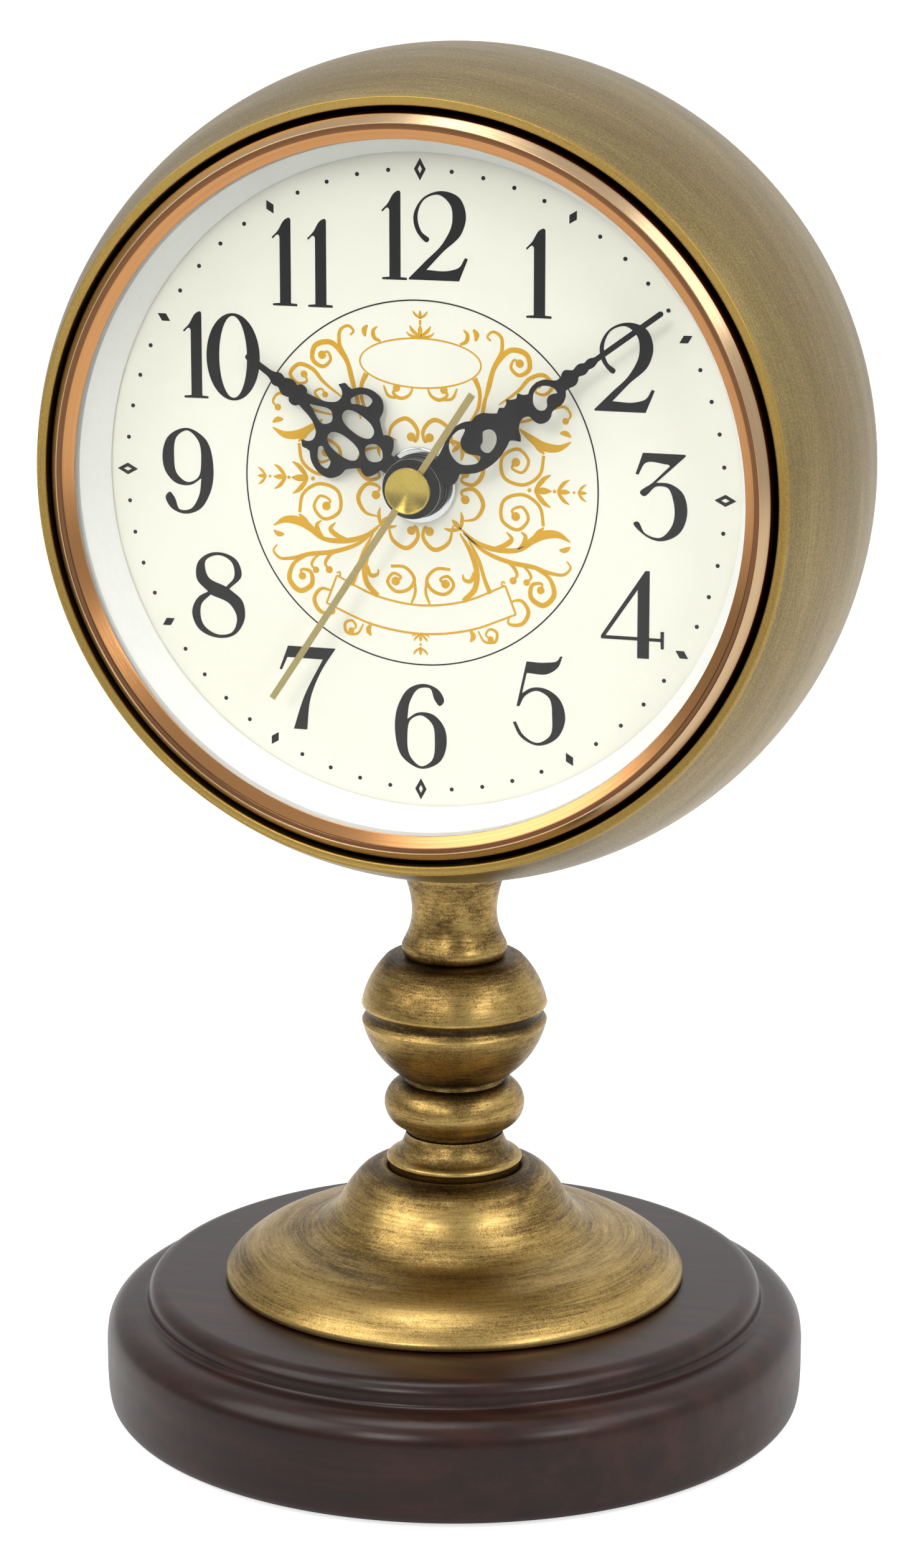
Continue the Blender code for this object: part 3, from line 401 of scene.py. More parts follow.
def speckled(name, colour, roughness, scale=3.0, spread=0.12, depth=0.02, metallic=0.0, swing=0.06, **extra):
    """A plain finish with a fine grain in its colour, gloss and surface."""
    g = Graph(name)
    grain = g.noise(scale, 3.0, 0.6)
    low = tuple(c * (1.0 - spread) for c in colour)
    high = tuple(min(1.0, c * (1.0 + spread)) for c in colour)
    g.set(base_color=g.ramp(grain, (0.3, low), (0.7, high)), metallic=metallic)
    g.set(roughness=g.span(grain, 0.3, 0.7, roughness - swing, roughness + swing), **extra)
    g.bump(grain, 0.3, depth)
    return g.material


def banded(name, colour, gap, roughness, pitch, axis, metallic=0.0):
    """Fine ridges side by side along an axis, such as wound wire, with darker gaps."""
    g = Graph(name)
    along = g.node("ShaderNodeSeparateXYZ", Vector=g.place()).outputs[axis]
    wave = g.math("ABSOLUTE", g.math("SINE", g.math("MULTIPLY", along, math.pi / pitch)))
    tone = g.math("MULTIPLY_ADD", g.math("SUBTRACT", g.noise(1.5), 0.5), 0.3, wave)
    g.set(base_color=g.ramp(tone, (0.1, gap), (0.5, colour)), metallic=metallic)
    g.set(roughness=g.span(wave, 0.0, 1.0, roughness + 0.15, roughness))
    g.bump(wave, 0.8, 0.5 * pitch)
    return g.material


def cell_sleeve():
    """The printed sleeve of a dry cell: dark, with a bright band and steel ends."""
    g = Graph("cell_sleeve")
    reach = g.math("ABSOLUTE", g.node("ShaderNodeSeparateXYZ", Vector=g.place()).outputs["X"])
    zones = g.ramp(g.math("DIVIDE", reach, 30.0), (0.0, (0.035, 0.04, 0.05)), (0.52, (0.55, 0.30, 0.09)),
                   (0.815, (0.55, 0.55, 0.54)), ease="CONSTANT")
    steel = g.math("GREATER_THAN", reach, 16.0)
    g.set(base_color=zones, metallic=steel, roughness=g.span(g.noise(2.0), 0.3, 0.7, 0.26, 0.36))
    return g.material


def circuit_board():
    """Green solder mask over paler tracks, with tinned pads."""
    g = Graph("circuit_board")
    tracks = g.node("ShaderNodeTexBrick", {"offset": 0.5}, Vector=g.place(), Color1=(0.015, 0.11, 0.045),
                    Color2=(0.020, 0.15, 0.06), Mortar=(0.05, 0.27, 0.11), Scale=1.0)
    for key, value in {"Mortar Size": 0.12, "Brick Width": 3.1, "Row Height": 1.27}.items():
        tracks.inputs[key].default_value = value
    pads = g.math("LESS_THAN", g.node("ShaderNodeTexVoronoi", Vector=g.place(), Scale=0.28).outputs[0], 0.16)
    g.set(base_color=g.mix(pads, tracks.outputs[0], (0.62, 0.62, 0.60)), metallic=pads, roughness=0.35)
    g.bump(tracks.outputs[1], 0.4, 0.03)
    return g.material


def clear_glass():
    """Flat glass. Light rays pass straight through it to the dial."""
    g = Graph("lens_glass")
    g.set(base_color=(0.96, 0.98, 0.97), roughness=0.0, ior=1.36, transmission_weight=1.0)
    through = g.node("ShaderNodeBsdfTransparent")
    ray = g.node("ShaderNodeLightPath")
    mix = g.node("ShaderNodeMixShader")
    g.put(mix.inputs[0], ray.outputs["Is Shadow Ray"])
    g.tree.links.new(g.shader.outputs[0], mix.inputs[1])
    g.tree.links.new(through.outputs[0], mix.inputs[2])
    g.tree.links.new(mix.outputs[0], g.tree.nodes["Material Output"].inputs["Surface"])
    return g.material


# === Mesh tools ===================================================================================

def smooth(points, step=0.5, closed=True):
    """A curve through the points. A point with a third value is a corner, where it may bend sharply."""
    count = len(points)
    flat = [Vector(p[:2]) for p in points]

    def slope(i, side):
        """Direction of the curve where it leaves point i (side 1) or reaches it (side -1)."""
        near = (i + side) % count
        if len(points[i]) > 2 or (not closed and i in (0, count - 1)):
            return (flat[near] - flat[i]) * side
        before, after = (i - 1) % count, (i + 1) % count
        back = (flat[i] - flat[before]).length
        ahead = (flat[after] - flat[i]).length
        mean = (flat[i] - flat[before]) / back * ahead + (flat[after] - flat[i]) / ahead * back
        return mean / (back + ahead) * (ahead if side > 0 else back)

    out = []
    for i in range(count if closed else count - 1):
        j = (i + 1) % count
        start, end = flat[i], flat[j]
        leave, reach = slope(i, 1), slope(j, -1)
        straight = len(points[i]) > 2 and len(points[j]) > 2
        steps = 1 if straight else max(1, math.ceil((end - start).length / step))
        for n in range(steps):
            t = n / steps
            weights = (2 * t ** 3 - 3 * t ** 2 + 1, t ** 3 - 2 * t ** 2 + t, 3 * t ** 2 - 2 * t ** 3,
                       t ** 3 - t ** 2)
            point = start * weights[0] + leave * weights[1] + end * weights[2] + reach * weights[3]
            out.append((point.x, point.y))
    if not closed:
        out.append(tuple(flat[-1]))
    return out


def arc(centre, radius, start, end, steps=16):
    """Points on an arc, from one angle to another in degrees."""
    out = []
    for i in range(steps + 1):
        angle = math.radians(start + (end - start) * i / steps)
        out.append((centre[0] + radius * math.cos(angle), centre[1] + radius * math.sin(angle)))
    return out


def circle(centre, radius, sides=48):
    return arc(centre, radius, 0, 360.0 * (sides - 1) / sides, sides - 1)


def ellipse(centre, half_x, half_z, sides=32):
    return [(centre[0] + half_x * x, centre[1] + half_z * z) for x, z in circle((0, 0), 1.0, sides)]


def lozenge(centre, half_x, half_z, degrees=0.0):
    """A diamond, turned clockwise by the given angle about the dial's centre."""
    corners = [(0, half_z), (half_x, 0), (0, -half_z), (-half_x, 0)]
    return [turned_point((centre[0] + x, centre[1] + z), degrees) for x, z in corners]


def turned_point(point, degrees):
    """A dial point turned clockwise about the dial's centre."""
    angle = math.radians(degrees)
    x, z = point
    return (x * math.cos(angle) + z * math.sin(angle), z * math.cos(angle) - x * math.sin(angle))


def rounded_box(centre, half_x, half_z, radius, grow=0.0):
    """A rounded rectangle, grown outwards by an amount."""
    hx, hz, r = half_x + grow, half_z + grow, max(radius + grow, 0.02)
    points = []
    for cx, cz, start in ((hx - r, hz - r, 0), (r - hx, hz - r, 90), (r - hx, r - hz, 180),
                          (hx - r, r - hz, 270)):
        points += arc((centre[0] + cx, centre[1] + cz), r, start, start + 90, 5)
    return points


def finish_piece(name, bm, material, body, replaced=(), sharp=40.0):
    """Turns a bmesh in millimetres into a piece that rides on a body."""
    bmesh.ops.recalc_face_normals(bm, faces=bm.faces[:])
    bmesh.ops.scale(bm, verts=bm.verts[:], vec=(MM, MM, MM))
    mesh = bpy.data.meshes.new(name)
    bm.to_mesh(mesh)
    bm.free()
    mesh.shade_smooth()
    mesh.set_sharp_from_angle(angle=math.radians(sharp))
    mesh.materials.append(material)
    piece = bpy.data.objects.new(name, mesh)
    scene.collection.objects.link(piece)
    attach(piece, body)
    if replaced:
        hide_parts(*replaced)
    return piece


def profile_wear(profile, reach=0.8):
    """How much a profile bends near each of its points, in radians, above 0 where it bulges outwards."""
    count = len(profile)
    points = [Vector(p[:2]) for p in profile]
    area = sum(points[i].x * points[(i + 1) % count].y - points[(i + 1) % count].x * points[i].y
               for i in range(count))
    turn = []
    for i in range(count):
        one, two = points[i] - points[i - 1], points[(i + 1) % count] - points[i]
        angle = math.atan2(one.x * two.y - one.y * two.x, one.dot(two)) if one.length and two.length else 0.0
        turn.append(angle if area > 0 else -angle)
    wear = []
    for i in range(count):
        total = 0.0
        for j in range(count):
            gap = (points[i] - points[j]).length
            if gap < 3 * reach:
                total += turn[j] * math.exp(-0.5 * (gap / reach) ** 2)
        wear.append(total)
    return wear


def crisp(points, radius=0.12, closed=True):
    """A profile with its corners rounded off, and points close to each corner that keep the faces
    between them flat. A corner's third value is its own radius."""
    out = []
    count = len(points)
    for i, point in enumerate(points):
        at = Vector(point[:2])
        if not closed and i in (0, count - 1):
            out.append(tuple(at))
            continue
        back, ahead = Vector(points[i - 1][:2]) - at, Vector(points[(i + 1) % count][:2]) - at
        reach = min(point[2] if len(point) > 2 else radius, 0.36 * back.length, 0.36 * ahead.length)
        start, end = at + back.normalized() * reach, at + ahead.normalized() * reach
        out.append(tuple(start + back.normalized() * 0.25 * reach))
        for t in (0.0, 0.33, 0.67, 1.0):
            out.append(tuple(start * (1 - t) ** 2 + at * 2 * t * (1 - t) + end * t ** 2))
        out.append(tuple(end + ahead.normalized() * 0.25 * reach))
    return out


def add_turned(bm, profile, axis="Z", at=(0, 0, 0), sides=144, seams=(), ribs=0, rib_depth=()):
    """A solid of revolution from a profile of (radius, height along the axis). It closes on itself, or
    on the axis where it starts and ends at radius 0. Ribs are cut to a depth for each profile point."""
    wear_layer = bm.verts.layers.float.get("wear") or bm.verts.layers.float.new("wear")
    near_seam_layer = bm.verts.layers.float.get("grime") or bm.verts.layers.float.new("grime")
    rings = []
    for n, ((radius, height), bend) in enumerate(zip(profile, profile_wear(profile))):
        ring = []
        for i in range(sides if radius > 1e-6 else 1):
            angle = 2 * math.pi * i / sides
            reach = radius - (rib_depth[n] * (0.5 - 0.5 * math.cos(ribs * angle)) if ribs else 0.0)
            across, up = reach * math.cos(angle), reach * math.sin(angle)
            point = (across, up, height) if axis == "Z" else (across, height, up)
            vert = bm.verts.new(Vector(point) + Vector(at))
            vert[wear_layer] = bend
            vert[near_seam_layer] = max((math.exp(-abs(height - seam) / reach_z) for seam, reach_z in seams),
                                    default=0.0)
            ring.append(vert)
        rings.append(ring)
    closed = len(rings[0]) > 1
    for n in range(len(rings) if closed else len(rings) - 1):
        one, two = rings[n], rings[(n + 1) % len(rings)]
        for i in range(sides):
            j = (i + 1) % sides
            corners = [one[i % len(one)], one[j % len(one)], two[j % len(two)], two[i % len(two)]]
            unique = list(dict.fromkeys(corners))
            if len(unique) > 2:
                bm.faces.new(unique)


def turned(name, profile, material, body, replaced=(), axis="Z", at=(0, 0, 0), sides=144,
           sharp=40.0, seams=()):
    bm = bmesh.new()
    add_turned(bm, profile, axis, at, sides, seams)
    return finish_piece(name, bm, material, body, replaced, sharp)


def add_loop(bm, points, y):
    verts = [bm.verts.new((x, y, z)) for x, z in points]
    edges = [bm.edges.new((verts[i], verts[(i + 1) % len(verts)])) for i in range(len(verts))]
    return verts, edges


def add_wall(bm, front, back):
    for i in range(len(front)):
        j = (i + 1) % len(front)
        bm.faces.new((front[i], front[j], back[j], back[i]))


def add_sheet(bm, outline, holes, front, back):
    """A flat plate between two depths, with holes."""
    edges = {front: [], back: []}
    for loop in [outline] + list(holes):
        pair = []
        for y in (front, back):
            verts, made = add_loop(bm, loop, y)
            edges[y] += made
            pair.append(verts)
        add_wall(bm, *pair)
    for y in (front, back):
        bmesh.ops.triangle_fill(bm, use_beauty=True, use_dissolve=False, edges=edges[y])


def add_plate(bm, shapes, front, back, chamfer=0.3):
    """A plate with chamfered edges at its back. Each shape is a function of how far it grows; the first
    is the outline and the others are holes."""
    loops = []
    for n, shape in enumerate(shapes):
        inward = -chamfer if n == 0 else chamfer
        loops.append([add_loop(bm, shape(0.0), front), add_loop(bm, shape(0.0), back - chamfer),
                      add_loop(bm, shape(inward), back)])
    for rows in loops:
        add_wall(bm, rows[0][0], rows[1][0])
        add_wall(bm, rows[1][0], rows[2][0])
    for row in (0, 2):
        edges = [edge for rows in loops for edge in rows[row][1]]
        bmesh.ops.triangle_fill(bm, use_beauty=True, use_dissolve=False, edges=edges)


def on_dial(points, dx=0.0, dz=0.0):
    """Dial coordinates (x, height from the dial's centre) in the clock's own frame."""
    return [(p[0] + dx, p[1] + dz + CENTRE_Z) for p in points]


# === Case and front ===============================================================================

def make_case(bronze):
    outer = arc((0, BALL_Y), BALL_R, -24.75, 34.3, 90)
    back_lip = [(69.95, 49.9), (69.6, 50.0), (67.6, 50.0), (67.2, 49.85)]
    inner = arc((0, BALL_Y), BALL_R - 2.5, 35.4, -24.2, 40)
    front_lip = [(75.2, -32.4), (75.2, -33.3), (75.27, -33.6), (75.45, -33.75), (75.75, -33.8),
                 (76.6, -33.98),
                 (76.85, -34.08), (77.0, -34.05), (77.1, -33.95)]
    turned("ball_case", outer + back_lip + inner + front_lip, bronze, "clock",
           ("case_shell",), "Y", HUB, 192)


def make_bezel(copper):
    profile = crisp([(68.9, -33.9), (68.9, -34.15), (71.0, -35.72), (71.15, -35.82), (71.95, -35.88),
                     (72.05, -36.05), (72.2, -36.05), (73.8, -34.1), (74.3, -33.1, 0.4), (74.7, -31.0),
                     (74.7, -18.0),
                     (72.0, -18.0), (72.0, -33.9)], 0.08)
    turned("bezel_ring", profile, copper, "clock", ("bezel",), "Y", HUB, 240, 50.0)


def make_glass(glass, white):
    turned("lens_disc", [(0, -31.7), (70.3, -31.7), (70.6, -32.0), (70.6, -33.3), (70.3, -33.6), (0, -33.6)],
           glass, "clock", ("lens",), "Y", HUB, 128)
    profile = [(68.7, -31.35), (65.9, -23.5), (65.6, -23.1), (65.5, -22.7), (65.5, -22.25), (70.9, -22.25),
               (70.9, -31.4)]
    turned("reflector_ring", profile, white, "clock", ("inner_ring",), "Y", HUB, 192)


# === Stem and base ================================================================================

def make_stem(bronze, wood, rubber):
    bore = 2.9
    neck = smooth([(10.2, 97.3, 1), (10.5, 97.5), (10.9, 98.5), (10.95, 99.6), (10.55, 100.5), (10.0, 101.6),
                   (9.1, 104.4), (8.85, 106.9), (9.2, 110.2), (10.0, 113.4), (10.6, 115.4, 1)], 0.4, False)
    turned("stem_upper_neck", [(bore, 97.3)] + neck + [(7.0, 114.9), (bore, 114.7)], bronze, "clock",
           ("upper_neck",), seams=((97.2, 2.2), (116.0, 2.5)))
    knop = ([(10.7, 71.8)] + arc((0.6, 87.5), 19.2, -55.5, -12.5, 26) + [(19.15, 83.7), (18.8, 84.1),
                                                                         (18.5, 84.5)]
            + [(18.42, 85.2), (18.5, 85.9), (18.8, 86.4), (19.3, 86.75)] + arc((0.6, 83.2), 19.2, 11.5,
                                                                               43.5, 24)
            + [(13.9, 96.8), (13.2, 97.0)])
    turned("stem_knop", [(bore, 71.8)] + knop + [(bore, 97.0)], bronze, "clock",
           ("ball_knop",),
           seams=((97.2, 2.0), (85.3, 0.9), (71.6, 3.0)))
    bead = arc((9.6, 65.2), 5.1, -80, 80, 34)
    turned("stem_bead", [(bore, 59.0), (10.0, 59.0)] + bead + [(10.0, 71.4), (bore, 71.4)], bronze, "clock",
           ("bead_ring",), seams=((71.6, 2.2), (58.8, 2.2)))
    lower = smooth([(10.2, 58.7, 1), (10.3, 58.0), (10.6, 57.2), (11.5, 55.4), (12.7, 54.4), (13.6, 53.9),
                    (14.1, 53.5),
                    (14.2, 53.0), (13.9, 52.5), (13.7, 51.8), (13.5, 51.0), (12.9, 50.5, 1)], 0.3, False)
    turned("stem_lower_neck", [(bore, 58.7)] + lower + [(bore, 50.5)], bronze, "clock",
           ("lower_neck",), seams=((58.8, 1.8), (50.4, 0.8)))
    outer = smooth([(13.2, 50.4, 1), (13.7, 50.6), (14.1, 51.2), (14.7, 51.6), (16.6, 51.3), (19.0, 50.2),
                    (22.2, 46.8), (25.0, 42.3), (29.0, 38.6), (34.0, 37.0), (39.5, 35.6), (44.5, 32.9),
                    (47.6, 29.9),
                    (48.4, 28.5), (48.3, 27.7), (47.9, 27.5, 1)], 0.5, False)
    under = [(46.0, 27.5), (43.2, 31.0), (38.5, 33.3), (28.0, 36.2), (22.8, 40.6), (18.5, 46.0),
             (bore, 48.0)]
    turned("stem_flange", [(bore, 50.4)] + outer + under, bronze, "clock",
           ("base_flange",),
           sides=192, seams=((51.4, 1.6), (27.2, 1.2)))

    tier = smooth([(60.4, 27.2, 1), (62.0, 27.1), (63.6, 26.4), (64.5, 25.2), (64.8, 23.9),
                   (64.85, 23.1)], 0.4, False)
    ledge = [(65.05, 22.5), (65.5, 22.2), (66.1, 22.1)]
    shoulder = smooth([(68.0, 22.1), (70.2, 21.5), (72.0, 20.1), (73.1, 18.2), (73.5, 16.0), (73.6, 12.0),
                       (73.55, 7.0), (73.3, 3.5), (72.9, 1.8), (72.3, 1.0, 1)], 0.8, False)
    pocket = [(13.0, 1.0), (13.0, 10.5), (bore, 10.5)]
    turned("base_disc", [(bore, 27.2)] + tier + ledge + shoulder + pocket, wood, "clock",
           ("wood_base",), sides=192)
    for n in range(1, 5):
        low, high = node_box(f"rubber_foot_{n}")
        middle = 0.5 * (low + high)
        radius = 0.5 * (high.x - low.x)
        pad = [(0, 0), (radius - 1.0, 0), (radius - 0.3, 0.3), (radius, 0.9), (radius, high.z), (0, high.z)]
        turned(f"foot_pad_{n}", pad, rubber, "clock", (f"rubber_foot_{n}",), "Z",
               (middle.x, middle.y, 0), 48)


# === Print on the dial ============================================================================

PRINT_THICK = 0.05
TRACK_R = 62.07                  # radius of the minute dots
RING_LINE_R = 36.5
PEN = 1.18                       # how much wider the gilt strokes are than their listed widths

# Numerals as outlines in dial coordinates, where x is to the right and the second value up from the dial's
# centre. A third value marks a corner.
ONE = [(-7.8, 40.35, 1), (-2.7, 40.35, 1), (-2.7, 40.8, 1), (-4.0, 40.9, 1), (-4.0, 57.5, 1), (-4.3, 57.8),
       (-4.9, 57.6), (-6.8, 55.0), (-7.9, 53.9, 1), (-7.75, 53.55, 1), (-6.6, 54.4), (-6.3, 54.0, 1),
       (-6.3, 40.9, 1), (-7.8, 40.75, 1)]
TWO = [(-2.3, 40.5, 1), (8.0, 40.5, 1), (9.8, 44.9, 1), (9.2, 45.1, 1), (8.0, 43.2), (6.0, 42.5),
       (1.3, 42.5, 1),
       (4.6, 46.0), (8.6, 50.0), (9.4, 53.2), (8.0, 56.8), (4.5, 57.95), (0.6, 56.5), (-1.35, 52.8),
       (-0.2, 49.2), (1.6, 47.95), (1.9, 48.4), (0.4, 49.8), (-0.5, 52.9), (1.0, 56.3), (3.8, 57.2),
       (6.2, 55.3), (6.6, 52.0), (4.8, 48.0), (0.9, 44.0), (-2.3, 40.8, 1)]
THREE = [(54.0, 8.6, 1), (54.0, 8.2, 1), (48.2, 2.85, 1), (50.85, 2.75), (53.4, 1.2), (54.5, -2.45),
         (52.9, -7.0),
         (48.9, -8.7), (45.4, -7.3), (43.8, -5.2), (44.3, -5.0), (46.0, -7.25), (49.1, -8.0), (51.3, -5.8),
         (51.7, -0.8), (50.4, 1.95), (48.3, 2.1), (45.5, 0.1), (45.0, 0.5), (47.4, 2.75), (50.9, 6.2, 1),
         (50.6, 6.5, 1), (45.85, 6.5), (44.6, 4.25, 1), (44.0, 4.35, 1), (45.45, 8.6, 1)]
FOUR = [(47.1, -14.75, 1), (47.1, -28.1, 1), (49.4, -28.1, 1), (49.4, -26.7, 1), (50.1, -26.7, 1),
        (50.1, -30.2, 1),
        (49.5, -30.2, 1), (49.4, -28.75, 1), (47.1, -28.75, 1), (47.1, -32.3, 1), (44.7, -32.3, 1),
        (44.7, -28.75, 1), (37.3, -28.75, 1), (37.3, -28.1, 1), (46.2, -14.75, 1)]
FOUR_HOLE = [(38.25, -28.05, 1), (44.7, -28.05, 1), (44.7, -18.6, 1)]
FIVE = [(22.05, -34.4, 1), (26.1, -34.4), (28.5, -33.8), (29.0, -32.95, 1), (29.45, -32.95, 1),
        (28.6, -35.15),
        (26.65, -36.6), (22.1, -36.75, 1), (21.15, -40.9, 1), (23.0, -39.75), (25.4, -39.6), (28.6, -41.3),
        (30.1, -45.4), (28.4, -49.65), (24.35, -51.4), (20.7, -49.65), (19.25, -46.95, 1),
        (19.85, -46.75, 1),
        (21.45, -49.45), (24.35, -50.85), (26.9, -49.3), (27.4, -45.4), (26.6, -41.4), (24.15, -40.25),
        (21.7, -41.5), (20.6, -43.6, 1), (20.0, -43.6, 1)]
SIX = [(0.9, -40.4), (4.1, -41.85), (4.85, -43.9), (4.0, -44.75), (3.0, -43.7), (1.9, -41.25), (-0.3, -41.4),
       (-2.25, -44.15), (-2.85, -47.8, 1), (-0.7, -46.4), (2.6, -46.6), (4.9, -49.0), (5.45, -51.85),
       (4.1, -56.1), (0.15, -57.9), (-3.75, -55.9), (-5.45, -50.2), (-4.6, -44.7), (-2.4, -41.45)]
SIX_HOLE = [(0.0, -46.9), (2.3, -48.4), (2.95, -52.0), (2.1, -56.3), (0.1, -57.4), (-2.1, -55.7),
            (-2.85, -51.5),
            (-2.0, -47.8)]
SEVEN = [(-28.1, -34.4, 1), (-17.95, -34.4, 1), (-21.1, -39.3), (-23.4, -45.1), (-24.15, -51.5, 1),
         (-27.0, -51.5, 1), (-24.75, -44.7), (-20.7, -36.8, 1), (-28.25, -36.75, 1), (-29.45, -39.4, 1),
         (-29.95, -39.3, 1)]
EIGHT = [(-42.65, -16.1), (-38.8, -17.65), (-37.9, -20.6), (-40.55, -23.5, 1), (-37.75, -25.9),
         (-37.35, -29.5),
         (-39.7, -33.0), (-43.05, -33.75), (-47.45, -31.9), (-48.65, -28.6), (-47.2, -25.5),
         (-45.15, -24.3, 1),
         (-47.5, -21.9), (-47.2, -18.3), (-44.75, -16.4)]
EIGHT_TOP = [(-42.65, -16.7), (-40.0, -18.0), (-39.5, -21.0), (-41.25, -23.1, 1), (-45.2, -21.1),
             (-45.6, -18.0)]
EIGHT_LOW = [(-44.6, -24.9, 1), (-40.3, -26.8), (-39.0, -29.3), (-40.1, -32.4), (-43.05, -33.05),
             (-46.2, -31.2),
             (-46.6, -27.0)]
ZERO_AT = (-39.15, 23.65)

# Scroll-work of one quarter, mirrored into the other three: a path, its widths at the start, middle and end,
# and the radius of the ball that it starts with.
QUARTER_SCROLLS = [
    ([(1.9, -9.4), (1.1, -8.5), (0.5, -10.2), (2.9, -13.0), (5.7, -11.6), (6.8, -8.0)], (0.3, 0.75, 0.25),
     0.8),
    ([(9.3, -2.6), (8.5, -1.2), (10.8, -0.4), (13.0, -3.3), (11.4, -6.3), (8.9, -6.9)], (0.3, 0.75, 0.25),
     0.8),
    ([(19.7, -5.4), (18.9, -4.4), (20.9, -3.4), (22.3, -5.6), (20.3, -8.0), (17.0, -6.4), (17.2, -2.4),
      (21.3, -1.0), (24.6, -3.2), (25.4, -7.0)], (0.4, 0.6, 0.55), 0.8),
    ([(20.4, -12.0), (22.6, -10.4), (25.4, -8.8), (28.4, -8.6), (30.9, -9.9)], (0.3, 1.5, 0.2), 0.0),
    ([(22.4, -11.0), (23.6, -9.8), (24.6, -8.2), (25.5, -7.3)], (0.3, 1.1, 0.2), 0.0),
    ([(28.7, -11.6), (29.8, -11.6), (30.9, -10.9)], (0.3, 0.9, 0.2), 0.0),
]
LOWER_SCROLLS = [
    ([(8.0, -8.2), (11.4, -10.9), (16.4, -12.3), (20.8, -11.9), (23.5, -10.2)], (0.25, 0.9, 0.5), 0.0),
    ([(15.2, -11.9), (17.6, -11.2), (18.9, -9.9), (17.8, -8.6)], (0.2, 0.9, 0.2), 0.0),
    ([(20.2, -11.9), (21.4, -10.6), (21.7, -9.2), (20.8, -8.4)], (0.2, 0.8, 0.2), 0.0),
    ([(8.9, -9.3), (13.0, -12.6), (18.4, -14.6), (23.6, -15.4), (27.2, -16.4), (29.8, -16.4), (31.0, -14.9),
      (30.2, -13.8)], (0.25, 0.8, 0.25), 0.0),
    ([(24.9, -19.9), (25.2, -18.7), (23.3, -18.8), (22.9, -21.4), (25.4, -22.9), (27.6, -20.8),
      (26.8, -17.6),
      (23.4, -15.4)], (0.3, 0.9, 0.3), 0.7),
    ([(19.2, -18.3), (20.0, -17.2), (19.3, -15.6), (17.8, -14.5)], (0.25, 0.6, 0.2), 0.65),
    ([(22.0, -18.5), (22.9, -17.5), (22.4, -16.3), (21.2, -15.3)], (0.25, 0.5, 0.2), 0.6),
    ([(8.2, -9.4), (10.6, -13.4), (11.7, -17.0), (11.3, -20.4), (9.0, -23.0)], (0.25, 0.95, 0.9), 0.0),
    ([(11.4, -17.2), (10.2, -19.0), (9.0, -18.6), (8.8, -17.6)], (0.9, 0.7, 0.2), 0.0),
    ([(9.9, -10.4), (12.2, -14.8), (13.4, -18.6), (14.5, -21.2)], (0.25, 0.6, 0.8), 0.0),
    ([(5.2, -19.8), (4.1, -19.0), (5.6, -18.2), (6.9, -19.9), (5.3, -21.8), (2.4, -21.2), (1.3, -19.4),
      (3.2, -16.9), (6.2, -16.8)], (0.4, 0.6, 0.5), 0.8),
    ([(2.0, -24.3), (1.1, -21.8), (1.3, -19.4)], (0.3, 0.5, 0.45), 0.0),
    ([(18.6, -22.6), (20.8, -22.2), (22.4, -24.4), (20.9, -27.0), (18.2, -26.8), (18.4, -25.6)],
     (0.3, 0.7, 0.25), 0.0),
    ([(14.6, -30.4), (13.6, -29.6), (14.4, -28.4), (15.8, -28.9), (15.6, -30.8), (13.4, -31.0),
      (12.0, -28.9)],
     (0.25, 0.5, 0.25), 0.55),
    ([(10.4, -28.8), (11.0, -30.2), (10.4, -31.2)], (0.3, 0.9, 0.25), 0.0),
]
UPPER_SCROLLS = [
    ([(9.9, 12.4), (12.0, 16.0), (12.2, 19.2), (11.2, 21.6)], (0.25, 0.6, 0.9), 0.0),
    ([(12.4, 12.4), (13.0, 16.4), (14.2, 20.0), (15.2, 24.0), (16.8, 27.6), (16.4, 30.2), (14.8, 30.9),
      (13.8, 29.8), (14.5, 29.1)], (0.25, 0.7, 0.3), 0.0),
    ([(20.4, 24.9), (19.4, 25.6), (18.6, 24.2), (20.2, 22.6), (22.3, 23.8), (21.9, 26.6), (18.8, 27.5),
      (15.9, 25.0), (14.0, 20.2), (13.0, 14.4)], (0.3, 0.9, 0.25), 0.75),
    ([(24.2, 20.9), (23.6, 19.6), (25.4, 19.0), (27.1, 20.8), (25.4, 22.8), (22.4, 22.0), (20.4, 19.8),
      (16.2, 16.6)], (0.3, 0.7, 0.25), 0.65),
    ([(19.8, 17.0), (20.5, 18.1), (21.9, 17.5), (20.6, 15.6), (16.4, 14.2)], (0.25, 0.5, 0.2), 0.55),
    ([(29.8, 14.0), (30.8, 15.0), (29.8, 16.7), (26.8, 16.2), (22.4, 13.9), (17.8, 12.9)],
     (0.25, 0.6, 0.25), 0.6),
    ([(8.2, 28.1), (9.5, 28.8), (9.7, 30.2), (8.9, 31.0)], (0.4, 0.7, 0.2), 0.0),
    ([(10.9, 31.2), (11.6, 30.2), (11.4, 28.9)], (0.25, 0.9, 0.25), 0.0),
    ([(4.9, 19.0), (5.6, 18.2), (4.2, 17.0), (2.2, 17.8), (1.5, 19.4)], (0.3, 0.6, 0.25), 0.7),
    ([(4.2, 17.0), (6.6, 17.4), (7.6, 19.4)], (0.3, 0.5, 0.25), 0.0),
]


def numeral(points, dx=0.0, dz=0.0, hole_list=()):
    """The outline and holes of one numeral, moved on the dial."""
    return on_dial(smooth(points), dx, dz), [on_dial(smooth(hole), dx, dz) for hole in hole_list]


def half_turn(points, centre, to):
    return [(to[0] + centre[0] - p[0], to[1] + centre[1] - p[1], *p[2:]) for p in points]


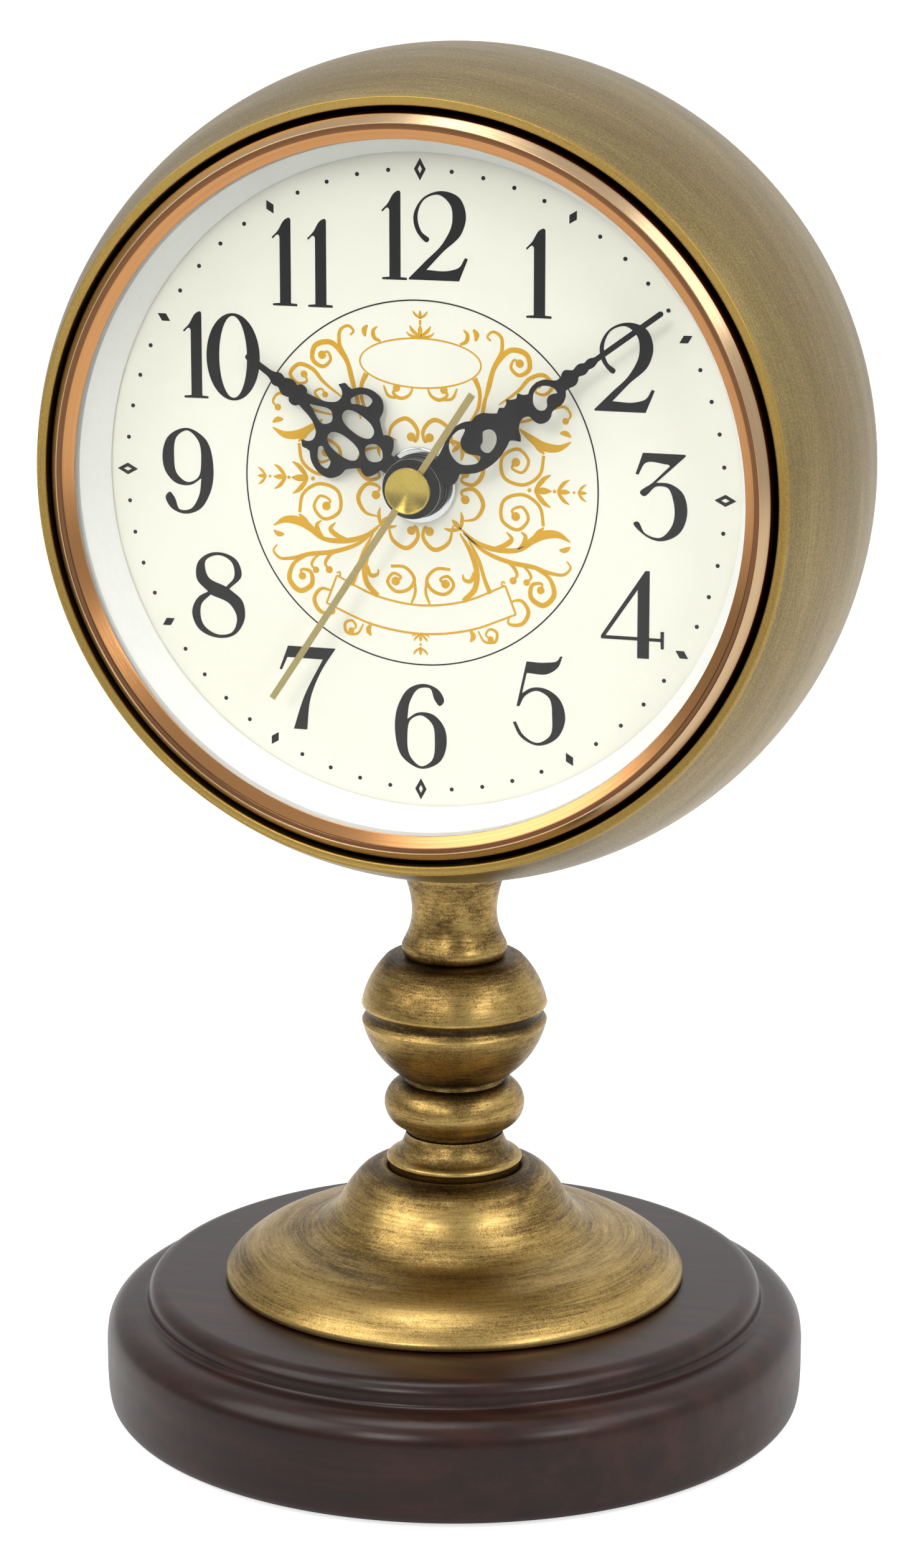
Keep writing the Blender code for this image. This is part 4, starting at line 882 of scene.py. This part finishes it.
def make_numerals(ink):
    six_at, nine_at = (0.05, -49.15), (-49.15, 0.15)
    zero = on_dial(ellipse(ZERO_AT, 5.65, 8.75, 64)), [on_dial(ellipse(ZERO_AT, 2.95, 8.2, 64))]
    figures = [numeral(ONE), numeral(TWO), numeral(ONE, 29.5, -6.4), numeral(TWO, 37.9, -24.1),
               numeral(THREE),
               numeral(FOUR, hole_list=[FOUR_HOLE]), numeral(FIVE), numeral(SIX, hole_list=[SIX_HOLE]),
               numeral(SEVEN), numeral(EIGHT, hole_list=[EIGHT_TOP, EIGHT_LOW]),
               numeral(half_turn(SIX, six_at, nine_at), hole_list=[half_turn(SIX_HOLE, six_at, nine_at)]),
               numeral(ONE, -41.8, -25.3), zero, numeral(ONE, -22.8, -6.05), numeral(ONE, -15.4, -6.05)]
    bm = bmesh.new()
    for outline, holes in figures:
        add_sheet(bm, outline, holes, DIAL_FACE - PRINT_THICK, DIAL_FACE + 0.02)
    finish_piece("dial_numerals", bm, ink, "clock")


def make_track(ink):
    """Minute dots, hour marks and the thin ring round the ornament."""
    bm = bmesh.new()
    front, back = DIAL_FACE - PRINT_THICK, DIAL_FACE + 0.02
    for minute in range(60):
        degrees = 6.0 * minute
        at = (0.0, TRACK_R)
        if minute % 15 == 0:
            add_sheet(bm, on_dial(lozenge(at, 1.2, 2.2, degrees)),
                      [on_dial(lozenge(at, 0.42, 0.85, degrees))], front, back)
        elif minute % 5 == 0:
            add_sheet(bm, on_dial(lozenge(at, 0.85, 1.5, degrees)), [], front, back)
        else:
            add_sheet(bm, on_dial(circle(turned_point(at, degrees), 0.42, 16)), [], front, back)
    ring = [on_dial(circle((0, 0), RING_LINE_R + side * 0.14, 192)) for side in (1, -1)]
    add_sheet(bm, ring[0], [ring[1]], front, back)
    finish_piece("dial_minute_track", bm, ink, "clock")


def stroke(path, widths):
    """The outline of a pen stroke along a path, with its width at the start, middle and end."""
    line = [Vector(p) for p in smooth(path, 0.35, False)]
    left, right = [], []
    for i, point in enumerate(line):
        t = i / (len(line) - 1)
        width = (widths[0] + (widths[1] - widths[0]) * math.sin(math.pi * min(t, 0.5)) if t < 0.5
                 else widths[2] + (widths[1] - widths[2]) * math.sin(math.pi * (1 - t)))
        ahead = line[min(i + 1, len(line) - 1)] - line[max(i - 1, 0)]
        side = Vector((-ahead.y, ahead.x)).normalized() * 0.5 * width * PEN
        left.append(tuple(point + side))
        right.append(tuple(point - side))
    return left, right


def add_stroke(bm, path, widths, flip=(1, 1), ball=0.0):
    """A stroke as a thin strip with square ends, and a ball at its start. Strokes that cross differ a
    little in thickness, so that no two faces lie in one plane."""
    left, right = stroke(path, widths)
    front = DIAL_FACE - PRINT_THICK - 0.0004 * (len(bm.verts) % 64)
    layers = []
    for y in (front, DIAL_FACE + 0.02):
        layers.append([[bm.verts.new((flip[0] * x, y, flip[1] * z + CENTRE_Z)) for x, z in line]
                       for line in (left, right)])
    (fl, fr), (bl, br) = layers
    for i in range(len(left) - 1):
        bm.faces.new((fl[i], fl[i + 1], fr[i + 1], fr[i]))
        bm.faces.new((bl[i], br[i], br[i + 1], bl[i + 1]))
        bm.faces.new((fl[i], bl[i], bl[i + 1], fl[i + 1]))
        bm.faces.new((fr[i], fr[i + 1], br[i + 1], br[i]))
    for i in (0, -1):
        bm.faces.new((fl[i], fr[i], br[i], bl[i]))
    if ball:
        at = (flip[0] * path[0][0], flip[1] * path[0][1])
        add_sheet(bm, on_dial(circle(at, 1.12 * ball, 16)), [], DIAL_FACE - PRINT_THICK - 0.005,
                  DIAL_FACE + 0.02)


def add_fan(bm, at, direction, reach, leaves=3):
    """A small fleuron along an angle in degrees: a middle leaf and side leaves that curl outwards."""
    angle = math.radians(direction)
    along, across = Vector((math.cos(angle), math.sin(angle))), Vector((-math.sin(angle), math.cos(angle)))

    def spot(u, v):
        return tuple(Vector(at) + along * u * reach + across * v * reach)

    add_stroke(bm, [spot(0, 0), spot(0.45, 0), spot(1, 0)], (0.12 * reach, 0.34 * reach, 0.05 * reach))
    for side in (1, -1):
        add_stroke(bm, [spot(0, 0), spot(0.25, side * 0.35), spot(0.55, side * 0.7),
                        spot(0.95, side * 0.95)],
                   (0.10 * reach, 0.25 * reach, 0.05 * reach))
        if leaves > 3:
            add_stroke(bm, [spot(-0.05, 0), spot(0.0, side * 0.5), spot(0.12, side * 0.95),
                            spot(0.4, side * 1.25)],
                       (0.08 * reach, 0.2 * reach, 0.05 * reach))


def make_ornament(gold):
    """Gilt scroll-work inside the ring, with a blank cartouche above and a blank ribbon below."""
    bm = bmesh.new()
    front, back = DIAL_FACE - PRINT_THICK, DIAL_FACE + 0.02
    for path, widths, ball in QUARTER_SCROLLS:
        for flip in ((1, 1), (-1, 1), (1, -1), (-1, -1)):
            add_stroke(bm, path, widths, flip, ball)
    for path, widths, ball in LOWER_SCROLLS + UPPER_SCROLLS:
        for flip in ((1, 1), (-1, 1)):
            add_stroke(bm, path, widths, flip, ball)
    for side in (1, -1):
        for level in (1, -1):
            add_fan(bm, (side * 8.4, level * 8.6),
                    90 - side * level * 45 if level > 0 else side * 45 - 90, -2.6)
        outward = 0 if side > 0 else 180
        for x, reach in ((23.6, 3.4), (28.2, 2.6), (32.4, 1.8)):
            add_fan(bm, (side * x, 0.0), outward, reach)
        for x, radius in ((22.5, 0.42), (27.6, 0.34), (31.6, 0.28)):
            add_sheet(bm, on_dial(circle((side * x, 0.0), radius, 16)), [], front - 0.01, back)
    add_fan(bm, (0.0, 32.9), 90, 1.6)
    add_fan(bm, (0.0, 29.3), 90, 2.3, 5)
    add_fan(bm, (0.0, -33.0), -90, 1.6)
    add_fan(bm, (0.0, -30.3), -90, 1.5, 5)
    for z in (31.9, 32.4, -32.4):
        add_sheet(bm, on_dial(circle((0.0, z), 0.26, 12)), [], front - 0.01, back)
    oval = [on_dial(ellipse((0.0, 24.1), 12.5 + side * 0.17, 4.9 + side * 0.17, 96)) for side in (1, -1)]
    add_sheet(bm, oval[0], [oval[1]], front, back)
    ribbon_top = [(-17.6, -19.4), (-9.0, -23.1), (0.0, -24.4), (9.0, -23.1), (17.6, -19.4)]
    ribbon_low = [(-19.8, -25.1), (-10.0, -28.9), (0.0, -30.2), (10.0, -28.9), (19.8, -25.1)]
    for path in (ribbon_top, ribbon_low, [ribbon_top[0], ribbon_low[0]], [ribbon_top[-1], ribbon_low[-1]]):
        add_stroke(bm, path, (0.32, 0.36, 0.32))
    for side in (1, -1):
        add_stroke(bm, [(side * 17.6, -18.9), (side * 17.0, -18.6), (side * 16.9, -19.3),
                        (side * 17.6, -19.5)],
                   (0.3, 0.3, 0.3))
    finish_piece("dial_ornament", bm, gold, "clock")


# === Hands ========================================================================================

def hand_outline(points, degrees):
    """Hand coordinates (along, across) turned to an angle clockwise from 12. Across is anticlockwise."""
    angle = math.radians(degrees)
    along, across = (math.sin(angle), math.cos(angle)), (-math.cos(angle), math.sin(angle))
    return [(p[0] * along[0] + p[1] * across[0],
             p[0] * along[1] + p[1] * across[1] + CENTRE_Z) for p in points]


HOUR_HALF = [(7.8, 1.9, 1), (8.2, 3.2), (9.4, 4.75), (10.8, 4.5), (11.3, 4.1, 1), (12.4, 5.0),
             (13.7, 6.25, 1),
             (14.1, 8.2), (15.4, 9.7), (17.5, 10.15), (19.4, 9.7), (20.7, 8.9), (21.7, 7.75, 1), (22.5, 7.7),
             (23.4, 7.9), (24.4, 6.9, 1), (23.2, 6.4), (22.5, 5.4), (22.8, 3.85), (24.0, 2.8),
             (28.7, 1.4, 1),
             (29.2, 2.0), (30.0, 2.25), (30.9, 2.0), (31.3, 1.4, 1), (32.0, 1.75), (32.8, 1.8),
             (34.2, 1.1, 1),
             (35.3, 1.4), (36.8, 0.75), (39.0, 0.6), (42.6, 0.6)]
HOUR_EYE = [(16.9, 8.5), (17.8, 8.8), (19.2, 8.4), (20.3, 7.1), (20.7, 5.8), (20.2, 5.3), (19.2, 5.9),
            (18.0, 6.4),
            (17.1, 6.8), (16.8, 7.6)]
HOUR_KITE = [(21.4, 0.0), (22.3, 1.45), (27.0, 0.15, 1), (27.0, -0.15, 1), (22.3, -1.45)]
MINUTE_TOP = [(5.7, 1.9, 1), (8.4, 2.2), (10.3, 3.1), (12.8, 4.4), (14.9, 5.0), (17.0, 4.7),
              (18.25, 4.04, 1),
              (19.5, 4.4), (20.75, 4.25), (22.4, 3.1), (23.5, 2.4, 1), (24.5, 3.04, 1), (25.3, 2.5, 1),
              (26.2, 2.9),
              (26.7, 3.6, 1), (27.4, 3.0), (28.5, 2.6, 1), (29.3, 3.25, 1), (29.9, 2.5), (31.0, 1.96, 1),
              (32.0, 2.6), (33.7, 2.9), (35.3, 2.5), (36.6, 1.45), (37.2, 1.04), (38.5, 1.04, 1),
              (39.1, 1.54),
              (39.8, 1.7), (40.5, 1.25), (41.2, 0.75, 1), (43.0, 1.08), (43.9, 0.6, 1), (45.1, 0.83),
              (46.2, 0.4, 1), (62.1, 0.4, 1), (62.5, 0.1)]
MINUTE_LOW = [(62.5, -0.4), (62.1, -0.7, 1), (46.2, -0.7, 1), (45.1, -1.08), (43.9, -0.9, 1), (43.0, -1.25),
              (41.4, -0.9, 1), (40.5, -1.67), (39.8, -1.9), (38.9, -1.75), (37.6, -1.67, 1), (37.0, -2.5),
              (35.5, -3.4), (34.1, -3.4, 1), (33.0, -3.5), (32.0, -4.25), (30.75, -4.5), (29.5, -3.96),
              (28.9, -2.9), (28.7, -1.8), (27.4, -1.25), (26.2, -1.67), (25.3, -2.5), (24.7, -4.0),
              (24.2, -4.7, 1),
              (23.5, -4.0), (22.6, -3.4), (21.2, -4.0), (19.1, -4.8), (16.2, -5.2), (13.25, -4.8),
              (11.2, -3.75),
              (10.1, -3.1), (8.9, -3.75), (7.6, -4.0), (5.7, -1.9, 1)]
MINUTE_CRESCENT = [(16.25, 3.5), (15.3, 4.0), (13.7, 4.0), (12.0, 3.3), (11.0, 1.9), (10.75, 0.2),
                   (11.25, -1.5),
                   (12.8, -2.7), (14.7, -3.25), (15.6, -2.8), (13.9, -0.6), (13.5, 0.6), (14.1, 2.1),
                   (15.4, 2.9)]
MINUTE_MOON = [(19.0, 1.1), (20.75, 0.4), (21.0, -0.4), (20.3, -1.9), (19.0, -2.7), (17.4, -2.9),
               (16.7, -2.2),
               (16.7, -1.04), (17.6, -0.5)]
MINUTE_RING = [(33.7, 1.9), (35.3, 1.04), (36.1, -0.2), (36.0, -1.1), (35.2, -0.75), (34.3, -0.6),
               (33.5, -1.04),
               (32.8, -2.1), (31.8, -2.35), (30.8, -1.67), (30.6, -0.4), (31.2, 0.8), (32.2, 1.67)]
HOUR_ANGLE, MINUTE_ANGLE, SECOND_ANGLE = 304.5, 53.8, 213.5
HOUR_HUB_R, MINUTE_HUB_R = 6.2, 6.0


def make_hands(paint, edge, gold, brass):
    hour_low, hour_high = node_box("hour_hand")
    minute_low, minute_high = node_box("minute_hand")
    second_low, second_high = node_box("second_hand")
    cap_low, cap_high = node_box("second_cap")

    neck = math.degrees(math.asin(1.8 / HOUR_HUB_R))
    hub = arc((0, 0), HOUR_HUB_R, 360 - neck, neck, 48)
    outline = smooth(HOUR_HALF, 0.4, False)
    outline = outline + arc((42.6, 0), 0.6, 80, -80, 6) + [(u, -v) for u, v in reversed(outline)]
    diamond = smooth([(8.75, 0.0), (10.0, 1.65), (10.83, 1.9), (11.7, 1.65), (12.9, 0.0), (11.7, -1.65),
                      (10.83, -1.9), (10.0, -1.65)], 0.4)
    holes = [diamond, smooth(HOUR_KITE, 0.4)]
    for side in (1, -1):
        holes.append([(16.7 + 3.8 * abs(x) ** 0.85 * (1 if x > 0 else -1),
                       side * 2.75 + 1.95 * abs(z) ** 0.85 * (1 if z > 0 else -1))
                      for x, z in circle((0, 0), 1.0, 32)])
        holes.append(smooth([(p[0], side * p[1]) for p in HOUR_EYE], 0.4))
    bore = circle((0, 0), 2.2, 24)
    bm = bmesh.new()
    add_sheet(bm, hand_outline(hub + outline, HOUR_ANGLE),
              [hand_outline(h, HOUR_ANGLE) for h in holes + [bore]],
              hour_low.y, hour_high.y)
    finish_piece("hand_hour", bm, paint, "hour_hand_body", ("hour_hand",))

    neck = math.degrees(math.asin(1.9 / MINUTE_HUB_R))
    hub = arc((0, 0), MINUTE_HUB_R, 360 - neck, neck, 48)
    outline = smooth(MINUTE_TOP, 0.4, False) + smooth(MINUTE_LOW, 0.4, False)
    holes = [smooth(MINUTE_CRESCENT, 0.4), smooth(MINUTE_MOON, 0.4), smooth(MINUTE_RING, 0.4),
             circle((0, 0), 1.0, 24)]
    bm = bmesh.new()
    add_sheet(bm, hand_outline(hub + outline, MINUTE_ANGLE), [hand_outline(h, MINUTE_ANGLE) for h in holes],
              minute_low.y, minute_high.y)
    finish_piece("hand_minute", bm, paint, "minute_hand_body", ("minute_hand",))

    collar, front = hour_high.y + 0.02, minute_high.y + 0.02
    turned("hub_hour", crisp([(4.8, collar), (6.4, collar), (6.4, collar + 0.43), (4.8, collar + 0.43)],
                             0.1), paint,
           "hour_hand_body", axis="Y", at=HUB, sides=96)
    back = hour_low.y - 0.25
    turned("hub_minute", crisp([(1.95, front), (5.9, front), (5.9, back), (1.95, back)], 0.15), paint,
           "minute_hand_body", axis="Y", at=HUB, sides=96)
    # Thin grey metal rings on the front edges of the black hubs: a painted highlight for the light that
    # these edges catch.
    for name, body, radius, y in (("hub_line_hour", "hour_hand_body", 6.2, hour_low.y),
                                  ("hub_line_minute", "minute_hand_body", 6.0, minute_low.y)):
        turned(name, [(radius - 0.05, y - 0.02), (radius + 0.02, y - 0.02), (radius + 0.02, y + 0.06),
                      (radius - 0.05, y + 0.01)], edge, body, axis="Y", at=HUB, sides=96)

    bm = bmesh.new()
    tail, tip = 23.4, 52.4
    blade = [(-tail, -0.7), (tip, -0.62), (tip, 0.62), (-tail, 0.7)]
    add_sheet(bm, hand_outline(blade, SECOND_ANGLE), [], second_low.y, second_high.y)
    finish_piece("hand_second", bm, gold, "second_hand_body", ("second_hand",))
    cap = [(0, cap_low.y + 0.50), (4.2, cap_low.y + 0.06), (4.27, cap_low.y + 0.03), (4.33, cap_low.y),
           (4.5, cap_low.y),
           (4.6, cap_low.y + 0.12), (4.6, cap_high.y), (0, cap_high.y)]
    turned("hub_cap", cap, brass, "second_hand_body", ("second_cap",), "Y", HUB, 128, 20.0)


def make_nut(chrome):
    low, high = node_box("hand_nut")
    front, back = low.y, high.y
    profile = crisp([(4.9, back), (high.x, back), (high.x, front, 0.35), (5.1, front)], 0.08)
    turned("centre_nut", profile, chrome, "clock", ("hand_nut",), "Y", HUB, 128)


# === Rear =========================================================================================

def box_shape(centre, half_x, half_z, radius=0.8):
    """A rounded opening or panel as a function of how far it grows, in dial coordinates."""
    return lambda grow: rounded_box((centre[0], centre[1] + CENTRE_Z), half_x, half_z, radius, grow)


def round_shape(centre, radius, sides=48):
    return lambda grow: circle((centre[0], centre[1] + CENTRE_Z), radius + grow, sides)


def cross_shape(centre, arm, half):
    """A cross with the given arm length and half width."""
    def shape(grow):
        a, h = arm + grow, half + grow
        corners = [(a, -h), (a, h), (h, h), (h, a), (-h, a), (-h, h), (-a, h), (-a, -h), (-h, -h),
                   (-h, -a), (h, -a),
                   (h, -h)]
        return on_dial(corners, *centre)
    return shape


def seat(node):
    """Middle of a node across the back, in dial coordinates."""
    low, high = node_box(node)
    return 0.5 * (low.x + high.x), 0.5 * (low.z + high.z) - CENTRE_Z


def add_inner(bm, node, depth):
    """Adds the part of a CAD node in front of a depth, closed where it is cut off."""
    part = bmesh.new()
    part.from_mesh(nodes[node].data)
    bmesh.ops.scale(part, verts=part.verts[:], vec=(1 / MM, 1 / MM, 1 / MM))
    bmesh.ops.delete(part, geom=[v for v in part.verts if v.co.y > depth], context="VERTS")
    bmesh.ops.holes_fill(part, edges=part.edges[:], sides=0)
    mesh = bpy.data.meshes.new("inner")
    part.to_mesh(mesh)
    part.free()
    bm.from_mesh(mesh)
    bpy.data.meshes.remove(mesh)


def make_cover(plastic):
    """The moulded back with its openings and raised marks."""
    high = node_box("rear_cover")[1]
    radius = high.x
    back = high.y
    front = back - 2.5
    knob, volume = seat("set_knob"), seat("volume_knob")
    button, switch = seat("monitor_button"), seat("mode_switch")
    shapes = [round_shape((0, 0), radius, 192), box_shape((0, -31), 28.0, 17.0), round_shape(knob, 3.0),
              round_shape(volume, 3.0), round_shape(button, 3.8), box_shape(switch, 4.5, 2.0, 0.6)]
    for n in range(4):
        shapes.append(round_shape(seat(f"rear_screw_{n + 1}"), 1.8, 32))
    speaker = seat("speaker_magnet")
    for n in range(-3, 4):
        wide = math.sqrt(17.0 ** 2 - (4.6 * n) ** 2)
        shapes.append(box_shape((speaker[0], speaker[1] + 4.6 * n), wide, 1.1, 1.05))
    bm = bmesh.new()
    add_plate(bm, shapes, front, back, 0.35)
    add_turned(bm, crisp([(64.2, 46.0), (66.2, 46.0), (66.2, front - 0.02), (64.2, front - 0.02)], 0.3),
               "Y", HUB, 192)
    finish_piece("back_cover", bm, plastic, "clock", ("rear_cover",), 30.0)

    bm = bmesh.new()
    for shape in (round_shape((0, 0), 66.6, 192), round_shape(speaker, 19.4, 96), round_shape(knob, 9.0, 64),
                  round_shape(volume, 8.2, 64), round_shape(button, 5.6, 48),
                  box_shape((0, -31), 30.2, 19.2, 1.8)):
        add_plate(bm, [shape, lambda grow, shape=shape: shape(grow - 0.8)], back + 0.01, back + 0.35, 0.12)
    for n in range(8):
        angle = math.radians(-130 + 37 * n)
        at = (volume[0] + 10.2 * math.sin(angle), volume[1] + 10.2 * math.cos(angle))
        add_plate(bm, [round_shape(at, 0.35 + 0.06 * n, 16)], back + 0.01, back + 0.3, 0.08)
    for x in (-2.5, 2.5):
        add_plate(bm, [round_shape((switch[0] + x, switch[1] - 4.6), 0.45, 16)], back + 0.01, back + 0.3,
                  0.08)
    for degrees, turn in ((150, 1), (30, -1)):
        sweep = [turned_point((0.0, 11.4), degrees - turn * step * 6) for step in range(9)]
        edge = [turned_point((0.0, 12.1), degrees - turn * step * 6) for step in range(9)]
        tip = [turned_point((0.0, 10.5), degrees - turn * 48),
               turned_point((0.0, 11.75), degrees - turn * 58),
               turned_point((0.0, 13.0), degrees - turn * 48)]
        arrow = on_dial(sweep + tip + edge[::-1], *knob)
        add_plate(bm, [lambda grow, arrow=arrow: arrow], back + 0.01, back + 0.3, 0.0)
    finish_piece("cover_marks", bm, plastic, "clock", (), 30.0)


def make_knob(name, node, body, plastic, paint, shaft, ribs, pinion=False):
    """A ribbed knob on its shaft, with a dished end and a painted pointer."""
    low, high = node_box(node)
    at = seat(node)
    shaft_r, shaft_front, skirt = shaft
    radius, end = 0.5 * (high.x - low.x), high.y
    middle = Vector((at[0], 0, at[1] + CENTRE_Z))
    corners = [(0, shaft_front), (shaft_r, shaft_front), (shaft_r, skirt), (radius - 0.5, skirt),
               (radius, skirt + 0.5),
               (radius, end - 0.6), (radius - 0.6, end), (radius - 1.5, end), (radius - 1.8, end - 0.3),
               (0, end - 0.3)]
    depths = [0, 0, 0, 0, 0.45, 0.45, 0, 0, 0, 0]
    bm = bmesh.new()
    add_turned(bm, corners, "Y", middle, ribs * 10, (), ribs, depths)
    if pinion:
        add_inner(bm, node, shaft_front + 0.01)
    finish_piece(f"{name}_grip", bm, plastic, body, (node,), 35.0)
    bm = bmesh.new()
    add_plate(bm, [box_shape((at[0], at[1] + radius - 3.4), 0.35, 1.3, 0.3)], end - 0.29, end - 0.16, 0.04)
    finish_piece(f"{name}_pointer", bm, paint, body, (), 30.0)


def make_controls(plastic, ivory, paint):
    make_knob("set_knob", "set_knob", "set_knob_body", plastic, paint, (1.2, -13.0, 54.0), 36, True)
    make_knob("volume_knob", "volume_knob", "volume_knob_body", plastic, paint, (2.4, 40.0, 53.6), 28)

    low, high = node_box("mode_switch")
    at = seat("mode_switch")
    bm = bmesh.new()
    add_plate(bm, [box_shape(at, 4.0, 3.0, 0.3)], low.y, 50.0, 0.2)
    add_plate(bm, [box_shape(at, 1.6, 1.6, 0.3)], 50.01, high.y - 0.35, 0.15)
    for x in (-1.1, 0.0, 1.1):
        add_plate(bm, [box_shape((at[0] + x, at[1]), 0.28, 1.5, 0.15)], high.y - 0.36, high.y, 0.1)
    finish_piece("switch_slider", bm, plastic, "mode_switch_body", ("mode_switch",), 30.0)

    low, high = node_box("monitor_button")
    at = seat("monitor_button")
    dome = arc((0, high.y - 9.0), 9.0, 90, 72.5, 6)[::-1]
    profile = [(0, low.y), (4.7, low.y), (4.7, 50.0), (3.5, 50.0), (3.5, high.y - 0.9), (3.4, high.y - 0.65)]
    profile += [(3.15, high.y - 0.5)] + dome[1:]
    profile[-1] = (0, high.y)
    bm = bmesh.new()
    add_turned(bm, profile, "Y", (at[0], 0, at[1] + CENTRE_Z), 64)
    finish_piece("listen_button", bm, ivory, "button_body", ("monitor_button",), 35.0)


def make_door(plastic):
    low, high = node_box("battery_door")
    at = seat("battery_door")
    half_x, half_z = 0.5 * (high.x - low.x), 0.5 * (high.z - low.z)
    bm = bmesh.new()
    add_plate(bm, [box_shape(at, half_x, half_z, 0.9)], low.y, high.y, 0.35)
    add_plate(bm, [box_shape(at, half_x - 2.6, half_z - 2.6, 1.2),
                   box_shape(at, half_x - 3.3, half_z - 3.3, 1.0)],
              high.y + 0.01, high.y + 0.3, 0.1)
    for n in range(6):
        add_plate(bm, [box_shape((at[0], at[1] + half_z - 5.0 - 1.3 * n), 9.0 - 0.9 * n, 0.34, 0.3)],
                  high.y + 0.01, high.y + 0.45, 0.15)
    add_plate(bm, [box_shape((at[0], at[1] + half_z - 1.4), 6.0, 0.8, 0.5)], high.y + 0.01, high.y + 0.6,
              0.2)
    finish_piece("battery_lid", bm, plastic, "battery_door_body", ("battery_door",), 30.0)


def make_screws(steel):
    """Pan-head screws with a cross recess."""
    for n in range(1, 5):
        low, high = node_box(f"rear_screw_{n}")
        at = seat(f"rear_screw_{n}")
        middle = (at[0], 0, at[1] + CENTRE_Z)
        radius, top = 0.5 * (high.x - low.x), high.y
        bm = bmesh.new()
        thread = [(1.4 - 0.22 * (i % 2), low.y + 0.4 + 0.35 * i) for i in range(40)]
        profile = [(0, low.y)] + thread + [(1.4, top - 1.9), (radius, top - 1.9), (radius, top - 1.11),
                                           (0, top - 1.11)]
        add_turned(bm, profile, "Y", middle, 48)
        add_plate(bm, [round_shape(at, radius, 48), cross_shape(at, 1.7, 0.38)], top - 1.1, top, 0.45)
        finish_piece(f"cover_screw_{n}", bm, steel, "clock", (f"rear_screw_{n}",), 25.0)


# === Assembly =====================================================================================

def main():
    make_camera()
    make_light()
    make_floor()
    plastic = speckled("moulded_black", (0.021, 0.021, 0.022), 0.46, 2.6, 0.15, 0.035,
                       specular_ior_level=0.4)
    ivory = speckled("moulded_ivory", (0.70, 0.68, 0.61), 0.38, 1.5, 0.03, 0.01, subsurface_weight=0.08)
    steel = speckled("zinc_plate", (0.52, 0.53, 0.53), 0.34, 1.8, 0.12, 0.015, 1.0)
    finishes = {
        "zinc_steel": steel, "black_plastic": plastic, "natural_plastic": ivory,
        "ferrite": speckled("ferrite_grey", (0.045, 0.045, 0.05), 0.6, 2.2, 0.25, 0.03),
        "copper_wire": banded("coil_wire", (0.55, 0.20, 0.07), (0.10, 0.035, 0.015), 0.3, 0.35, "X", 0.8),
        "board_green": circuit_board(),
        "speaker_paper": banded("speaker_paper", (0.055, 0.052, 0.048), (0.03, 0.028, 0.026), 0.8, 1.6, "Y"),
        "cell_sleeve": cell_sleeve(), "dial_white": dial_card(),
    }
    for node in nodes.values():
        finish = finishes.get(node.data.materials[0].name.split(".")[0])
        if finish:
            node.data.materials.clear()
            node.data.materials.append(finish)

    bronze, turned_bronze = ball_bronze(), stem_bronze()
    copper = bezel_metal()
    wood = mahogany()
    rubber = speckled("foot_rubber", (0.022, 0.022, 0.023), 0.75, 2.0)
    white = speckled("ring_enamel", (0.80, 0.80, 0.79), 0.4, 1.0, 0.02)
    make_case(bronze)
    make_bezel(copper)
    make_glass(clear_glass(), white)
    make_stem(turned_bronze, wood, rubber)
    ink = speckled("printing_ink", (0.005, 0.005, 0.0055), 0.6, 6.0, 0.1, 0.004, specular_ior_level=0.06)
    gilt = speckled("gilt_ink", (0.62, 0.335, 0.012), 0.55, 5.0, 0.14, 0.004, specular_ior_level=0.06)
    paint = speckled("hand_paint", (0.0035, 0.0035, 0.004), 0.5, 5.0, 0.15, 0.01, specular_ior_level=0.06)
    make_numerals(ink)
    make_track(ink)
    make_ornament(gilt)
    chrome = lathe_metal("chrome_turned", (0.76, 0.76, 0.77), 0.12, "Y", 0.005, 0.08)
    # Grey metal for the rings that paint a highlight on the black hub edges.
    edge = lathe_metal("hub_edge", (0.34, 0.34, 0.34), 0.25, "Y", 0.005, 0.08)
    khaki = lathe_metal("hand_gilt", (0.44, 0.35, 0.14), 0.42, "Y", 0.01, 0.15)
    brass = lathe_metal("cap_brass", (0.56, 0.42, 0.085), 0.24, "Y", 0.01, 0.15, 8.0, 0.9)
    make_hands(paint, edge, khaki, brass)
    make_nut(chrome)
    make_cover(plastic)
    make_controls(plastic, ivory, ivory)
    make_door(plastic)
    make_screws(steel)


main()
